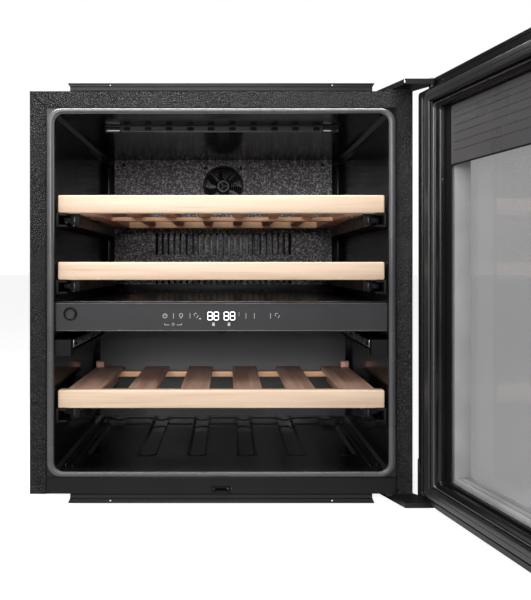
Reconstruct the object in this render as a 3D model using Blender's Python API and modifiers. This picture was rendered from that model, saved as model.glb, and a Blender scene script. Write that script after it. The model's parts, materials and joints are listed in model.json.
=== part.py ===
"""Built-in wine cooler with two zones, its door standing open.

Metres. +X is to the right seen from the front, +Y runs into the cabinet and +Z is up.
The origin is the centre of the flat underside of the cabinet.
"""

import math

import bmesh
import bpy
from mathutils import Matrix, Vector

# ---- driving dimensions ----
CABINET_WIDTH = 0.537
CABINET_HEIGHT = 0.565
CABINET_DEPTH = 0.525
GAP = 0.0003
SHEET = 0.001
PAN_SHEET = 0.0012
PAN_LIP = 0.014
FOAM_BASE_GAP = 0.0014
FOAM_FRONT_GAP = 0.0005

FRAME_FACE = 0.0235
MITRE_GAP = 0.0006
SILL_HEIGHT = 0.024
SILL_SHEET = 0.0015
SILL_DEPTH = 0.030

SIDE_WALL = 0.034
CAVITY_WIDTH = CABINET_WIDTH - 2 * SIDE_WALL
CAVITY_HALF = CAVITY_WIDTH / 2
CAVITY_FLOOR = 0.0316
TOP_WALL = 0.0313
CAVITY_TOP = CABINET_HEIGHT - TOP_WALL
CAVITY_RADIUS = 0.013
LINER_WALL = 0.002
LINER_FLANGE_SETBACK = 0.0005
REAR_WALL = 0.028
UPPER_DEPTH = CABINET_DEPTH - REAR_WALL
MACHINE_BAY_DEPTH = 0.172
LOWER_DEPTH = CABINET_DEPTH - MACHINE_BAY_DEPTH
GROOVE_COUNT = 6
GROOVE_MARGIN = 0.0094
GROOVE_PITCH = (CAVITY_WIDTH - GROOVE_MARGIN) / GROOVE_COUNT
GROOVE_WIDTH = 0.030
GROOVE_DROP = 0.004
GROOVE_START = 0.091
BAY_FOAM = 0.0297
BAY_ROOF_FOAM = 0.0277

DIVIDER_BOTTOM = 0.228
DIVIDER_TOP = 0.2699
DIVIDER_FRONT = 0.008
FASCIA_THICKNESS = 0.003
FASCIA_DROP = 0.0025
BUTTON_RADIUS = 0.0072
BUTTON_CLEARANCE = 0.001
BUTTON_LENGTH = 0.008
BUTTON_TRAVEL = 0.0015
BUTTON_INSET = 0.0212
BUTTON_X = BUTTON_INSET - CAVITY_HALF
BUTTON_Z = 0.252

COVER_SPACE = 0.028
COVER_FACE = UPPER_DEPTH - COVER_SPACE
COVER_SHEET = 0.002
COVER_MARGIN = 0.016
COVER_WIDTH = CAVITY_WIDTH - 2 * COVER_MARGIN
COVER_RETURN = 0.025
FAN_DROP = 0.0523
FAN_Z = CAVITY_TOP - FAN_DROP
FAN_SIZE = 0.080
FAN_DEPTH = 0.020
FAN_RADIUS = 0.0385
FAN_HUB = 0.013
FAN_TIP_GAP = 0.0015
SLOT_COLUMNS = 23
SLOT_PITCH = 0.01215
SLOT_WIDTH = 0.0056
SLOT_HEIGHT = 0.0444
SLOT_ROWS = (0.2844, 0.3424)
EVAPORATOR_WIDTH = 0.300
EVAPORATOR_DEPTH = 0.018
EVAPORATOR_BASE = 0.290
EVAPORATOR_FAN_GAP = 0.0114
EVAPORATOR_HEIGHT = FAN_Z - FAN_SIZE / 2 - EVAPORATOR_FAN_GAP - EVAPORATOR_BASE
EVAPORATOR_FINS = 20

LIGHT_BAR_MARGIN = 0.0565
LIGHT_BAR_LENGTH = CAVITY_WIDTH - 2 * LIGHT_BAR_MARGIN
LIGHT_BAR_DEPTH = 0.014
LIGHT_BAR_HEIGHT = 0.009
LIGHT_BAR_FRONT = 0.094

RAIL_SIDE_GAP = 0.003
RAIL_WIDTH = CAVITY_WIDTH - 2 * RAIL_SIDE_GAP
RAIL_HEIGHT = 0.0255
RAIL_DEPTH = 0.020
RAIL_FRONT = 0.010
RAIL_EDGE = 0.0015
SHELF_BASES = (0.3948, 0.3000, 0.1184)
SHELF_REAR_GAP = 0.039
LOW_SHELF_REAR_GAP = 0.076
LONG_SHELF = COVER_FACE - SHELF_REAR_GAP
SHELF_DEPTHS = (LONG_SHELF, LONG_SHELF, LOWER_DEPTH - LOW_SHELF_REAR_GAP)
SHELF_TRAVELS = (0.250, 0.250, 0.160)
SLIDE_ROOM = 0.0225
SIDE_RAIL_WIDTH = 0.031
SIDE_RAIL_OUTER = CAVITY_HALF - SLIDE_ROOM
SIDE_RAIL_INNER = SIDE_RAIL_OUTER - SIDE_RAIL_WIDTH
SIDE_RAIL_TOP = 0.0195
BATTEN_COUNT = 6
BATTEN_MARGIN = 0.0296
BATTEN_PITCH = (2 * SIDE_RAIL_INNER - BATTEN_MARGIN) / BATTEN_COUNT
BATTEN_WIDTH = 0.017
BATTEN_BASE = 0.0036
BATTEN_TOP = 0.0186
MID_RAIL_FRONT = 0.184
CROSS_RAIL_DEPTH = 0.020
CROSS_RAIL_DROP = 0.001
MID_RAIL_TOP = 0.0055
REAR_RAIL_TOP = 0.014
SLAT_COUNT = 6
END_SLAT_MARGIN = 0.0135
END_SLAT_WIDTH = 0.049
END_SLAT_OUTER = CAVITY_HALF - END_SLAT_MARGIN
END_SLAT_INNER = END_SLAT_OUTER - END_SLAT_WIDTH
END_SLAT_LAP = 0.019
SLAT_PITCH = 2 * (END_SLAT_INNER + END_SLAT_LAP) / (SLAT_COUNT - 1)
SLAT_WIDTH = 0.042
SLAT_BASE = 0.0195
SLAT_TOP = 0.0255
LOW_RAIL_BASE = 0.0105
LOW_RAIL_REAR = 0.007
STOP_BLOCK = 0.014
STOP_BLOCK_RISE = 0.010

RUNNER_HALF_HEIGHT = 0.009
RUNNER_CLEARANCE = 0.001
RUNNER_DROP = RUNNER_HALF_HEIGHT + RUNNER_CLEARANCE
RUNNER_SHEET = 0.0022
RUNNER_WIDTH = 0.016
RUNNER_INNER = CAVITY_HALF - RUNNER_WIDTH
MEMBER_WEB = RUNNER_INNER + 0.0085
CAGE_NEAR = RUNNER_INNER + 0.001
CAGE_FAR = RUNNER_INNER + 0.0111
CAGE_WALL = 0.0012
RUNNER_FRONT = 0.008
RUNNER_REAR_GAP = 0.010
MEMBER_FRONT = 0.032
MEMBER_REAR_GAP = 0.002
CAGE_FRONT = 0.150
CAGE_LENGTH = 0.180
LOW_CAGE_FRONT = 0.110
LOW_CAGE_LENGTH = 0.100
SPARE_RUNNER_BASE = 0.2144
SPARE_BLOCK_LENGTH = 0.020
SPARE_BLOCK_HALF = 0.0112

FOOT_RADIUS = 0.015
FOOT_HEIGHT = 0.018
FOOT_INSET = 0.0785
FOOT_X = CABINET_WIDTH / 2 - FOOT_INSET
FOOT_FRONT = 0.045
FOOT_REAR = CABINET_DEPTH - FOOT_FRONT
STRIP_MARGIN = 0.0565
STRIP_LENGTH = CABINET_WIDTH - 2 * STRIP_MARGIN
STRIP_HEIGHT = 0.0108
BOTTOM_STRIP_DROP = 0.0126
STRIP_SHEET = 0.0015
STRIP_FLANGE = 0.025
STRIP_BEND = 0.0055
STRIP_FLARE = 0.003
STRIP_HOLE = 0.0022
STRIP_HOLE_INSET = 0.0565
STRIP_HOLE_X = STRIP_LENGTH / 2 - STRIP_HOLE_INSET

LATCH_HALF_WIDTH = 0.0142
LATCH_HEIGHT = 0.0099
LATCH_DEPTH = 0.028
LATCH_WALL = 0.0048
LATCH_TRAVEL = 0.006
PLUNGER_GAP = 0.0004
PLUNGER_REACH = 0.0075
PLUNGER_TOP = 0.006

DOOR_OVERHANG = 0.029
DOOR_WIDTH = CABINET_WIDTH + 2 * DOOR_OVERHANG
DOOR_RISE = 0.0148
DOOR_BOTTOM = -0.0152
DOOR_THICKNESS = 0.042
DOOR_GAP = 0.00815
DOOR_OPEN = math.radians(101.2)
INNER_FRAME_DEPTH = 0.0224
INNER_FRAME_BOTTOM = 0.0015
INNER_FRAME_DROP = 0.0075
INNER_FRAME_TOP = CABINET_HEIGHT - INNER_FRAME_DROP
WINDOW_INSET = 0.062
WINDOW_BOTTOM = 0.036
WINDOW_DROP = 0.0305
WINDOW_TOP = INNER_FRAME_TOP - WINDOW_DROP
GLASS_REBATE = 0.010
GLASS_OVERLAP = 0.010
GLASS_THICKNESS = 0.004
OUTER_GLASS_THICKNESS = 0.004
GASKET_INSET = 0.041
GASKET_RISE = 0.036
GASKET_HALF = 0.007
GASKET_CLEARANCE = 0.0004
PIVOT_INSET = 0.0086
PIVOT_DEPTH = 0.01615
PIN_RADIUS = 0.004
PIN_CLEARANCE = 0.0004
PIN_ENGAGEMENT = 0.0155
ARM_THICKNESS = 0.007
ARM_TIP = 0.0059
ARM_PAD = 0.0031
ARM_REACH = 0.063
ARM_BACK = 0.046

COMPRESSOR_INSET = 0.1185
COMPRESSOR_X = COMPRESSOR_INSET - CABINET_WIDTH / 2
COMPRESSOR_REAR = 0.069
COMPRESSOR_Y = CABINET_DEPTH - COMPRESSOR_REAR
COMPRESSOR_RADIUS = 0.056
COMPRESSOR_HEIGHT = 0.150
COMPRESSOR_BASE = 0.012
CONDENSER_LEFT = 0.050
CONDENSER_RIGHT = 0.200
CONDENSER_HEIGHT = 0.135
CONDENSER_FINS = 11
COOLING_FAN_SIZE = 0.120
COOLING_FAN_DEPTH = 0.025
COOLING_FAN_LEFT = 0.010
COOLING_FAN_RADIUS = 0.056
COOLING_FAN_HUB = 0.018
BAY_FLOOR = 0.015
BAY_INSET = 0.010
VENT_COLUMNS = 20
VENT_PITCH = 0.020
VENT_WIDTH = 0.006
VENT_HEIGHT = 0.055
VENT_ROWS = (0.030, 0.105)
GLAND_INSET = 0.0335
GLAND_X = CABINET_WIDTH / 2 - GLAND_INSET
GLAND_Z = 0.060
GLAND_RADIUS = 0.009
GLAND_FLANGE = 0.013

# ---- values that follow from them ----
FRONT = -CABINET_DEPTH / 2
REAR = CABINET_DEPTH / 2
HALF_WIDTH = CABINET_WIDTH / 2
FLANGE_EDGE = HALF_WIDTH - FRAME_FACE - GAP
BAY_FRONT = FRONT + LOWER_DEPTH + LINER_WALL + GAP + BAY_FOAM
STEP_Z = DIVIDER_BOTTOM - GAP
BAY_ROOF = STEP_Z - LINER_WALL - GAP - BAY_ROOF_FOAM
DOOR_TOP = CABINET_HEIGHT + DOOR_RISE
DOOR_FACE = FRONT - DOOR_GAP
PIVOT = Vector((DOOR_WIDTH / 2 - PIVOT_INSET, DOOR_FACE - PIVOT_DEPTH, 0))
OVERLAP = 0.0005
BEYOND = 0.005
CIRCLE_STEPS = 24
ORIGIN = Vector((0, 0, 0))


# ---- helpers ----
def clear_scene():
    for obj in list(bpy.data.objects):
        bpy.data.objects.remove(obj)


def new_collection(name):
    collection = bpy.data.collections.new(name)
    bpy.context.scene.collection.children.link(collection)
    return collection


def material(name, color, roughness, metallic=0.0, alpha=1.0):
    mat = bpy.data.materials.new(name)
    mat.use_nodes = True
    shader = mat.node_tree.nodes["Principled BSDF"]
    shader.inputs["Base Color"].default_value = (*color, 1)
    shader.inputs["Roughness"].default_value = roughness
    shader.inputs["Metallic"].default_value = metallic
    shader.inputs["Alpha"].default_value = alpha
    return mat


def object_from(mesh, name="piece"):
    obj = bpy.data.objects.new(name, mesh)
    parts.objects.link(obj)
    return obj


def block(low, high):
    """A box from its lowest to its highest corner."""
    low, high = Vector(low), Vector(high)
    bm = bmesh.new()
    bmesh.ops.create_cube(bm, size=1)
    bmesh.ops.scale(bm, vec=high - low, verts=bm.verts)
    bmesh.ops.translate(bm, vec=(low + high) / 2, verts=bm.verts)
    mesh = bpy.data.meshes.new("block")
    bm.to_mesh(mesh)
    bm.free()
    return object_from(mesh)


def rod(centre, radius, length, axis, steps=CIRCLE_STEPS):
    """A cylinder about its centre, along one of the axes X, Y or Z."""
    turn = Vector((0, 0, 1)).rotation_difference(Vector([a == axis for a in "XYZ"]))
    bm = bmesh.new()
    bmesh.ops.create_cone(
        bm, cap_ends=True, segments=steps, radius1=radius, radius2=radius, depth=length
    )
    bm.transform(Matrix.Translation(centre) @ turn.to_matrix().to_4x4())
    mesh = bpy.data.meshes.new("rod")
    bm.to_mesh(mesh)
    bm.free()
    return object_from(mesh)


def circle(u, v, radius, steps=CIRCLE_STEPS):
    turns = [2 * math.pi * i / steps for i in range(steps)]
    return [(u + radius * math.cos(a), v + radius * math.sin(a)) for a in turns]


def rectangle(u0, u1, v0, v1):
    return [(u0, v0), (u1, v0), (u1, v1), (u0, v1)]


def rounded(u0, u1, v0, v1, radius, steps=3):
    """A rectangle with round corners, counter-clockwise."""
    corners = (
        (u1 - radius, v0 + radius, -0.5),
        (u1 - radius, v1 - radius, 0.0),
        (u0 + radius, v1 - radius, 0.5),
        (u0 + radius, v0 + radius, 1.0),
    )
    points = []
    for u, v, start in corners:
        for i in range(steps + 1):
            angle = math.pi * (start + 0.5 * i / steps)
            points.append((u + radius * math.cos(angle), v + radius * math.sin(angle)))
    return points


def arched(u0, u1, v0, v1, radius, steps=3):
    """A rectangle with only its upper corners round."""
    upper = rounded(u0, u1, v0, v1, radius, steps)[steps + 1 : 3 * (steps + 1)]
    return [*upper, (u0, v0), (u1, v0)]


def baked(obj):
    """The object's mesh as its modifiers leave it, in world space, with its points welded."""
    bpy.context.view_layer.update()
    graph = bpy.context.evaluated_depsgraph_get()
    mesh = bpy.data.meshes.new_from_object(obj.evaluated_get(graph))
    mesh.transform(obj.matrix_world)
    bm = bmesh.new()
    bm.from_mesh(mesh)
    bmesh.ops.remove_doubles(bm, verts=bm.verts, dist=1e-6)
    bmesh.ops.recalc_face_normals(bm, faces=bm.faces)
    bm.to_mesh(mesh)
    bm.free()
    return mesh


def extruded(outlines, low, high, plane):
    """A flat outline with its holes, drawn in a plane and filled from low to high across it."""
    curve = bpy.data.curves.new("outline", "CURVE")
    curve.dimensions = "2D"
    curve.fill_mode = "BOTH"
    curve.extrude = (high - low) / 2
    for outline in outlines:
        spline = curve.splines.new("POLY")
        spline.points.add(len(outline) - 1)
        for point, (u, v) in zip(spline.points, outline):
            point.co = (u, v, 0, 1)
        spline.use_cyclic_u = True
    guide = object_from(curve, "outline")
    mesh = baked(guide)
    bpy.data.objects.remove(guide)
    axes = [Vector([a == axis for a in "XYZ"]) for axis in plane]
    across = Vector([a not in plane for a in "XYZ"])
    turn = Matrix((*axes, across)).transposed().to_4x4()
    mesh.transform(Matrix.Translation(across * (low + high) / 2) @ turn)
    if turn.determinant() < 0:
        mesh.flip_normals()
    return object_from(mesh)


def turned(profile, centre, steps=CIRCLE_STEPS):
    """A solid of revolution about a vertical axis, its profile from the top to the bottom."""
    mesh = bpy.data.meshes.new("profile")
    edges = [(i, i + 1) for i in range(len(profile) - 1)]
    mesh.from_pydata([(r, 0, z) for r, z in profile], edges, [])
    obj = object_from(mesh)
    obj.location = centre
    screw = obj.modifiers.new("Screw", "SCREW")
    screw.steps = screw.render_steps = steps
    screw.use_merge_vertices = True
    screw.merge_threshold = 1e-5
    mesh = baked(obj)
    bpy.data.objects.remove(obj)
    return object_from(mesh)


def combined(base, others, operation):
    """The base with other solids joined to it or cut from it."""
    for other in others:
        boolean = base.modifiers.new("Boolean", "BOOLEAN")
        boolean.operation = operation
        boolean.object = other
    mesh = baked(base)
    for other in others:
        bpy.data.objects.remove(other)
    base.modifiers.clear()
    base.data = mesh
    base.matrix_world = Matrix()
    return base


def joined(*pieces):
    return combined(pieces[0], pieces[1:], "UNION")


def cut(base, *cutters):
    return combined(base, cutters, "DIFFERENCE")


def finish(name, obj, mat, origin=ORIGIN, smooth=False):
    """Names a finished piece, gives it its material and sets its origin."""
    obj.name = name
    obj.data.name = name
    obj.data.materials.clear()
    obj.data.materials.append(mat)
    if smooth:
        obj.data.shade_smooth()
        obj.data.set_sharp_from_angle(angle=math.radians(35))
    obj.data.transform(Matrix.Translation(-Vector(origin)))
    obj.location = origin
    return obj


def axis_empty(name, place, pieces):
    """An empty on a joint's axis that carries the pieces that move with it."""
    empty = bpy.data.objects.new(name, None)
    empty.empty_display_size = 0.03
    empty.location = place
    parts.objects.link(empty)
    for piece in pieces:
        piece.parent = empty
        piece.matrix_parent_inverse = Matrix.Translation(-Vector(place))
    return empty


def evenly(count, pitch):
    return [(i - (count - 1) / 2) * pitch for i in range(count)]


# ---- cabinet shell ----
def outer_wrapper():
    outer = HALF_WIDTH
    inner = outer - SHEET
    top = CABINET_HEIGHT
    under = top - SHEET
    wrap = [(-outer, 0), (-inner, 0), (-inner, under), (inner, under)]
    wrap += [(inner, 0), (outer, 0), (outer, top), (-outer, top)]
    shell = extruded([wrap], FRONT, REAR, "XZ")
    edge = outer - FRAME_FACE
    lintel = top - FRAME_FACE
    hem = outer - OVERLAP
    cap = top - OVERLAP
    slit = MITRE_GAP / 2
    pieces = [shell]
    for side in (-1, 1):
        upright = [
            (side * hem, 0),
            (side * edge, 0),
            (side * edge, lintel - slit),
            (side * hem, cap - slit),
        ]
        pieces.append(extruded([upright], FRONT, FRONT + SHEET, "XZ"))
    head = [
        (-edge + slit, lintel),
        (edge - slit, lintel),
        (hem - slit, cap),
        (-hem + slit, cap),
    ]
    pieces.append(extruded([head], FRONT, FRONT + SHEET, "XZ"))
    return finish("outer_wrapper", joined(*pieces), textured_paint)


def latch_notch():
    side = LATCH_HALF_WIDTH + GAP
    high = GAP + LATCH_HEIGHT + GAP
    low = (-side, FRONT - BEYOND, -BEYOND)
    return block(low, (side, FRONT + LATCH_DEPTH + GAP, high))


def front_sill():
    face = FRONT + GAP
    angle = [
        (face, GAP),
        (FRONT + SILL_DEPTH, GAP),
        (FRONT + SILL_DEPTH, GAP + SILL_SHEET),
        (face + SILL_SHEET, GAP + SILL_SHEET),
        (face + SILL_SHEET, SILL_HEIGHT),
        (face, SILL_HEIGHT),
    ]
    sill = extruded([angle], -FLANGE_EDGE, FLANGE_EDGE, "YZ")
    return finish("front_sill", cut(sill, latch_notch()), smooth_black)


def base_pan():
    low = FRONT + SILL_DEPTH + GAP
    high = REAR - SHEET - GAP
    outline = [(low, 0), (high, 0), (high, PAN_LIP), (high - PAN_SHEET, PAN_LIP)]
    outline += [(high - PAN_SHEET, PAN_SHEET), (low, PAN_SHEET)]
    side = HALF_WIDTH - SHEET - GAP
    return finish("base_pan", extruded([outline], -side, side, "YZ"), zinc)


def cavity(grow):
    """The space inside the liner, grown outwards on every wall."""
    side = CAVITY_HALF + grow
    radius = CAVITY_RADIUS + grow
    floor, top = CAVITY_FLOOR - grow, CAVITY_TOP + grow
    mouth = FRONT - BEYOND
    tall = extruded(
        [rounded(-side, side, floor, top, radius)], mouth, FRONT + LOWER_DEPTH + grow, "XZ"
    )
    step = STEP_Z - grow
    upper = extruded(
        [arched(-side, side, step, top, radius)], mouth, FRONT + UPPER_DEPTH + grow, "XZ"
    )
    pieces = [tall, upper]
    for x in evenly(GROOVE_COUNT, GROOVE_PITCH):
        half = GROOVE_WIDTH / 2 + grow
        base = half - GROOVE_DROP
        deep = floor - GROOVE_DROP
        trough = [(x - base, deep), (x + base, deep), (x + half, floor), (x + half, floor + half)]
        trough += [(x - half, floor + half), (x - half, floor)]
        back = FRONT + LOWER_DEPTH + grow - OVERLAP
        pieces.append(extruded([trough], FRONT + GROOVE_START - grow, back, "XZ"))
    return joined(*pieces)


def inner_liner():
    body = cavity(LINER_WALL)
    front = FRONT + LINER_FLANGE_SETBACK
    trim = HALF_WIDTH + BEYOND
    low = (-trim, FRONT - 2 * BEYOND, -BEYOND)
    body = cut(body, block(low, (trim, front + OVERLAP, CABINET_HEIGHT + BEYOND)))
    flange_low = SILL_HEIGHT + GAP
    flange_high = CABINET_HEIGHT - FRAME_FACE - GAP
    flange = rectangle(-FLANGE_EDGE, FLANGE_EDGE, flange_low, flange_high)
    plate = extruded([flange], front, front + LINER_WALL, "XZ")
    return finish("inner_liner", cut(joined(body, plate), cavity(0)), gloss_black)


def insulation():
    side = HALF_WIDTH - SHEET - GAP
    base = PAN_SHEET + FOAM_BASE_GAP
    front = FRONT + LINER_FLANGE_SETBACK + LINER_WALL + FOAM_FRONT_GAP
    foam = block((-side, front, base), (side, REAR - SHEET - GAP, CABINET_HEIGHT - SHEET - GAP))
    bay = block((-side - BEYOND, BAY_FRONT, -BEYOND), (side + BEYOND, REAR + BEYOND, BAY_ROOF))
    return finish("insulation", cut(foam, cavity(LINER_WALL + GAP), bay, latch_notch()), foam_yellow)


def rear_panel():
    side = HALF_WIDTH - SHEET - GAP
    base = PAN_SHEET + GAP
    sheet = rectangle(-side, side, base, CABINET_HEIGHT - SHEET - GAP)
    holes = [circle(GLAND_X, GLAND_Z, GLAND_RADIUS + GAP, 16)]
    for row in VENT_ROWS:
        for x in evenly(VENT_COLUMNS, VENT_PITCH):
            half = VENT_WIDTH / 2
            holes.append(rectangle(x - half, x + half, row, row + VENT_HEIGHT))
    return finish("rear_panel", extruded([sheet, *holes], REAR - SHEET, REAR, "XZ"), zinc)


def feet():
    foot_base = -FOOT_HEIGHT
    profile = [
        (0, -GAP),
        (0.004, -GAP),
        (0.004, -0.008),
        (0.009, -0.009),
        (FOOT_RADIUS, -0.012),
        (FOOT_RADIUS, foot_base),
        (0, foot_base),
    ]
    for depth, where in ((FOOT_FRONT, "front"), (FOOT_REAR, "rear")):
        for x, side in ((-FOOT_X, "left"), (FOOT_X, "right")):
            place = (x, FRONT + depth, 0)
            foot = turned(profile, place, 16)
            finish(f"foot_{where}_{side}", foot, matte_plastic, place, smooth=True)


def mounting_strip(name, root, rise):
    """A folded strip that screws to the niche, standing out from the cabinet by its rise."""
    way = 1 if rise > 0 else -1
    half = STRIP_LENGTH / 2
    tip = root + rise
    bend = root + way * STRIP_BEND
    lap = way * OVERLAP
    face = FRONT + GAP
    near = rectangle(-half, half, *sorted((root, bend + lap)))
    band = extruded([near], face, face + STRIP_SHEET, "XZ")
    far = [(-half, bend), (half, bend), (half + STRIP_FLARE, tip), (-half - STRIP_FLARE, tip)]
    middle = (bend + tip) / 2
    holes = [circle(x, middle, STRIP_HOLE, 12) for x in (-STRIP_HOLE_X, STRIP_HOLE_X)]
    jog = face - STRIP_SHEET + OVERLAP
    edge = extruded([far, *holes], jog, jog + STRIP_SHEET, "XZ")
    ledge = sorted((root, root + way * STRIP_SHEET))
    seat = block((-half, face + OVERLAP, ledge[0]), (half, face + STRIP_FLANGE, ledge[1]))
    return finish(name, joined(band, edge, seat), painted_steel)


def hinge_plate(name, root, way):
    """The arm that holds the door's pin, with a pad that lifts it off the cabinet."""
    tangent = Vector((math.cos(math.pi / 6), math.sin(math.pi / 6)))
    shoulder = PIVOT.xy + ARM_TIP * tangent
    run = (FRONT + ARM_BACK / 2 - shoulder.y) / tangent.x
    outline = [
        (PIVOT.x - ARM_REACH, FRONT + ARM_BACK),
        (PIVOT.x - ARM_REACH * 0.6, PIVOT.y - ARM_TIP),
    ]
    for i in range(9):
        angle = math.radians(-90 + i * 120 / 8)
        outline.append((PIVOT.x + ARM_TIP * math.cos(angle), PIVOT.y + ARM_TIP * math.sin(angle)))
    outline += [(shoulder.x - run * tangent.y, FRONT + ARM_BACK / 2)]
    outline += [(HALF_WIDTH - SHEET, FRONT + ARM_BACK)]
    levels = [root, root + way * ARM_PAD, root + way * (ARM_PAD + ARM_THICKNESS)]
    arm = extruded([outline], *sorted(levels[1:]), "XY")
    pad_left = PIVOT.x - ARM_REACH * 0.9
    pad = rectangle(pad_left, HALF_WIDTH - SHEET * 2, FRONT + 0.003, FRONT + ARM_BACK - 0.002)
    lift = extruded([pad], *sorted((levels[0], levels[1] + way * OVERLAP)), "XY")
    door_edge = INNER_FRAME_TOP if way > 0 else INNER_FRAME_BOTTOM
    ends = sorted((levels[1] + way * OVERLAP, door_edge - way * PIN_ENGAGEMENT))
    middle = (ends[0] + ends[1]) / 2
    pin = rod((PIVOT.x, PIVOT.y, middle), PIN_RADIUS, ends[1] - ends[0], "Z", 16)
    return finish(name, joined(arm, lift, pin), painted_steel)


# ---- push latch ----
def latch():
    high = GAP + LATCH_HEIGHT
    roof = high - 0.002
    inner = LATCH_HALF_WIDTH - LATCH_WALL
    side = LATCH_HALF_WIDTH
    bridge = [(-side, GAP), (-inner, GAP), (-inner, roof), (inner, roof)]
    bridge += [(inner, GAP), (side, GAP), (side, high), (-side, high)]
    front = FRONT - 0.0008
    housing = extruded([bridge], front, FRONT + LATCH_DEPTH, "XZ")
    finish("latch_housing", housing, matte_plastic)
    half = inner - PLUNGER_GAP
    tongue = extruded(
        [rounded(-half, half, GAP, PLUNGER_TOP, 0.0012, 2)],
        FRONT - PLUNGER_REACH,
        FRONT + LATCH_DEPTH - LATCH_TRAVEL - 0.001,
        "XZ",
    )
    place = (0, FRONT - PLUNGER_REACH, (GAP + PLUNGER_TOP) / 2)
    return finish("latch_plunger", tongue, matte_plastic, place)


# ---- divider with the control panel ----
def divider():
    side = CAVITY_HALF - GAP
    face = FRONT + DIVIDER_FRONT + FASCIA_THICKNESS + GAP
    core = block((-side, face, DIVIDER_BOTTOM), (side, FRONT + COVER_FACE - GAP, DIVIDER_TOP))
    pocket_radius = BUTTON_RADIUS + BUTTON_CLEARANCE
    pocket = rod((BUTTON_X, face, BUTTON_Z), pocket_radius, 2 * BUTTON_LENGTH, "Y")
    return finish("divider", cut(core, pocket), gloss_black)


def control_fascia():
    side = CAVITY_HALF - GAP
    top = DIVIDER_TOP - FASCIA_DROP
    face = rectangle(-side, side, DIVIDER_BOTTOM, top)
    hole = circle(BUTTON_X, BUTTON_Z, BUTTON_RADIUS + BUTTON_CLEARANCE)
    front = FRONT + DIVIDER_FRONT
    plate = extruded([face, hole], front, front + FASCIA_THICKNESS, "XZ")
    return finish("control_fascia", plate, satin_grey)


def panel_button():
    middle = FRONT + DIVIDER_FRONT + BUTTON_LENGTH / 2
    place = (BUTTON_X, middle, BUTTON_Z)
    button = rod(place, BUTTON_RADIUS, BUTTON_LENGTH, "Y")
    return finish("panel_button", button, satin_grey, place, smooth=True)


# ---- cold side ----
def evaporator_cover():
    half = COVER_WIDTH / 2
    low = DIVIDER_TOP + GAP
    high = CAVITY_TOP - GAP
    holes = [circle(0, FAN_Z, FAN_RADIUS, 32)]
    for row in SLOT_ROWS:
        for x in evenly(SLOT_COLUMNS, SLOT_PITCH):
            w = SLOT_WIDTH / 2
            holes.append(rounded(x - w, x + w, row, row + SLOT_HEIGHT, w, 2))
    front = FRONT + COVER_FACE
    outline = rectangle(-half, half, low, high)
    face = extruded([outline, *holes], front, front + COVER_SHEET, "XZ")
    rim = COVER_SHEET
    opening = rectangle(-half + rim, half - rim, low + rim, high - rim)
    walls = extruded([outline, opening], front + COVER_SHEET / 2, front + COVER_RETURN, "XZ")
    return finish("evaporator_cover", joined(face, walls), hammered_grey)


def fan_frame(name, size, depth, radius, hub, centre, axis, mat):
    """A square frame with a round throat and a bearing seat on three struts at its back."""
    plane = "XZ" if axis == "Y" else "YZ"
    u, v, low = centre
    half = size / 2
    frame = [rounded(u - half, u + half, v - half, v + half, 0.006, 2), circle(u, v, radius)]
    pieces = [extruded(frame, low, low + depth, plane)]
    seat_low = low + depth * 0.86
    pieces.append(extruded([circle(u, v, hub, 16)], seat_low, low + depth, plane))
    for i in range(3):
        turn = Matrix.Rotation(2 * math.pi * i / 3 + 0.5, 2)
        w = 0.002
        reach = (radius + half) / 2
        bar = [turn @ Vector(p) for p in rectangle(hub * 0.5, reach, -w, w)]
        outline = [(u + p.x, v + p.y) for p in bar]
        pieces.append(extruded([outline], seat_low + 0.0002, low + depth - 0.0002, plane))
    return finish(name, joined(*pieces), mat)


def fan_rotor(name, radius, hub, depth, place, axis, mat):
    """A hub with seven pitched blades, turning about its own origin."""
    reach = radius - FAN_TIP_GAP
    pieces = [rod(ORIGIN, hub, depth, "Z")]
    for i in range(7):
        blade = block((hub * 0.7, -depth * 0.62, -0.0006), (reach, depth * 0.62, 0.0006))
        pitch = Matrix.Rotation(math.radians(38), 4, "X")
        turn = Matrix.Rotation(2 * math.pi * i / 7, 4, "Z")
        blade.data.transform(turn @ pitch)
        pieces.append(blade)
    rotor = joined(*pieces)
    to_axis = Vector((0, 0, 1)).rotation_difference(Vector([a == axis for a in "XYZ"]))
    rotor.data.transform(Matrix.Translation(place) @ to_axis.to_matrix().to_4x4())
    return finish(name, rotor, mat, place)


def finned_block(name, u0, u1, v0, v1, low, high, plane, fins, mat):
    """A block of thin fins between two headers, open along its third axis."""
    header = 0.003
    fin = 0.0012
    pitch = (u1 - u0 - fin) / fins
    gaps = []
    for i in range(fins):
        start = u0 + fin + i * pitch
        gaps.append(rectangle(start, start + pitch - fin, v0 + header, v1 - header))
    body = extruded([rectangle(u0, u1, v0, v1), *gaps], low, high, plane)
    return finish(name, body, mat)


def light_bar():
    half = LIGHT_BAR_LENGTH / 2
    front = FRONT + LIGHT_BAR_FRONT
    top = CAVITY_TOP - GAP
    low = top - LIGHT_BAR_HEIGHT
    section = [
        (front, low + 0.001),
        (front + 0.003, low),
        (front + LIGHT_BAR_DEPTH, low + 0.004),
        (front + LIGHT_BAR_DEPTH, top),
        (front, top),
    ]
    return finish("light_bar", extruded([section], -half, half, "YZ"), satin_grey)


# ---- shelves on their runners ----
def mirrored(points, side):
    return [(side * x, z) for x, z in points]


def runner(name, side, base, rear):
    """The fixed channel of a slide, open towards the shelf."""
    z = base - RUNNER_DROP
    wall = CAVITY_HALF - GAP
    web = wall - 0.0027
    outer = RUNNER_HALF_HEIGHT
    inner = outer - RUNNER_SHEET
    section = [(RUNNER_INNER, z - outer), (wall, z - outer), (wall, z + outer)]
    section += [(RUNNER_INNER, z + outer), (RUNNER_INNER, z + inner), (web, z + inner)]
    section += [(web, z - inner), (RUNNER_INNER, z - inner)]
    low = FRONT + RUNNER_FRONT
    return finish(name, extruded([mirrored(section, side)], low, rear, "XZ"), matte_plastic)


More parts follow.
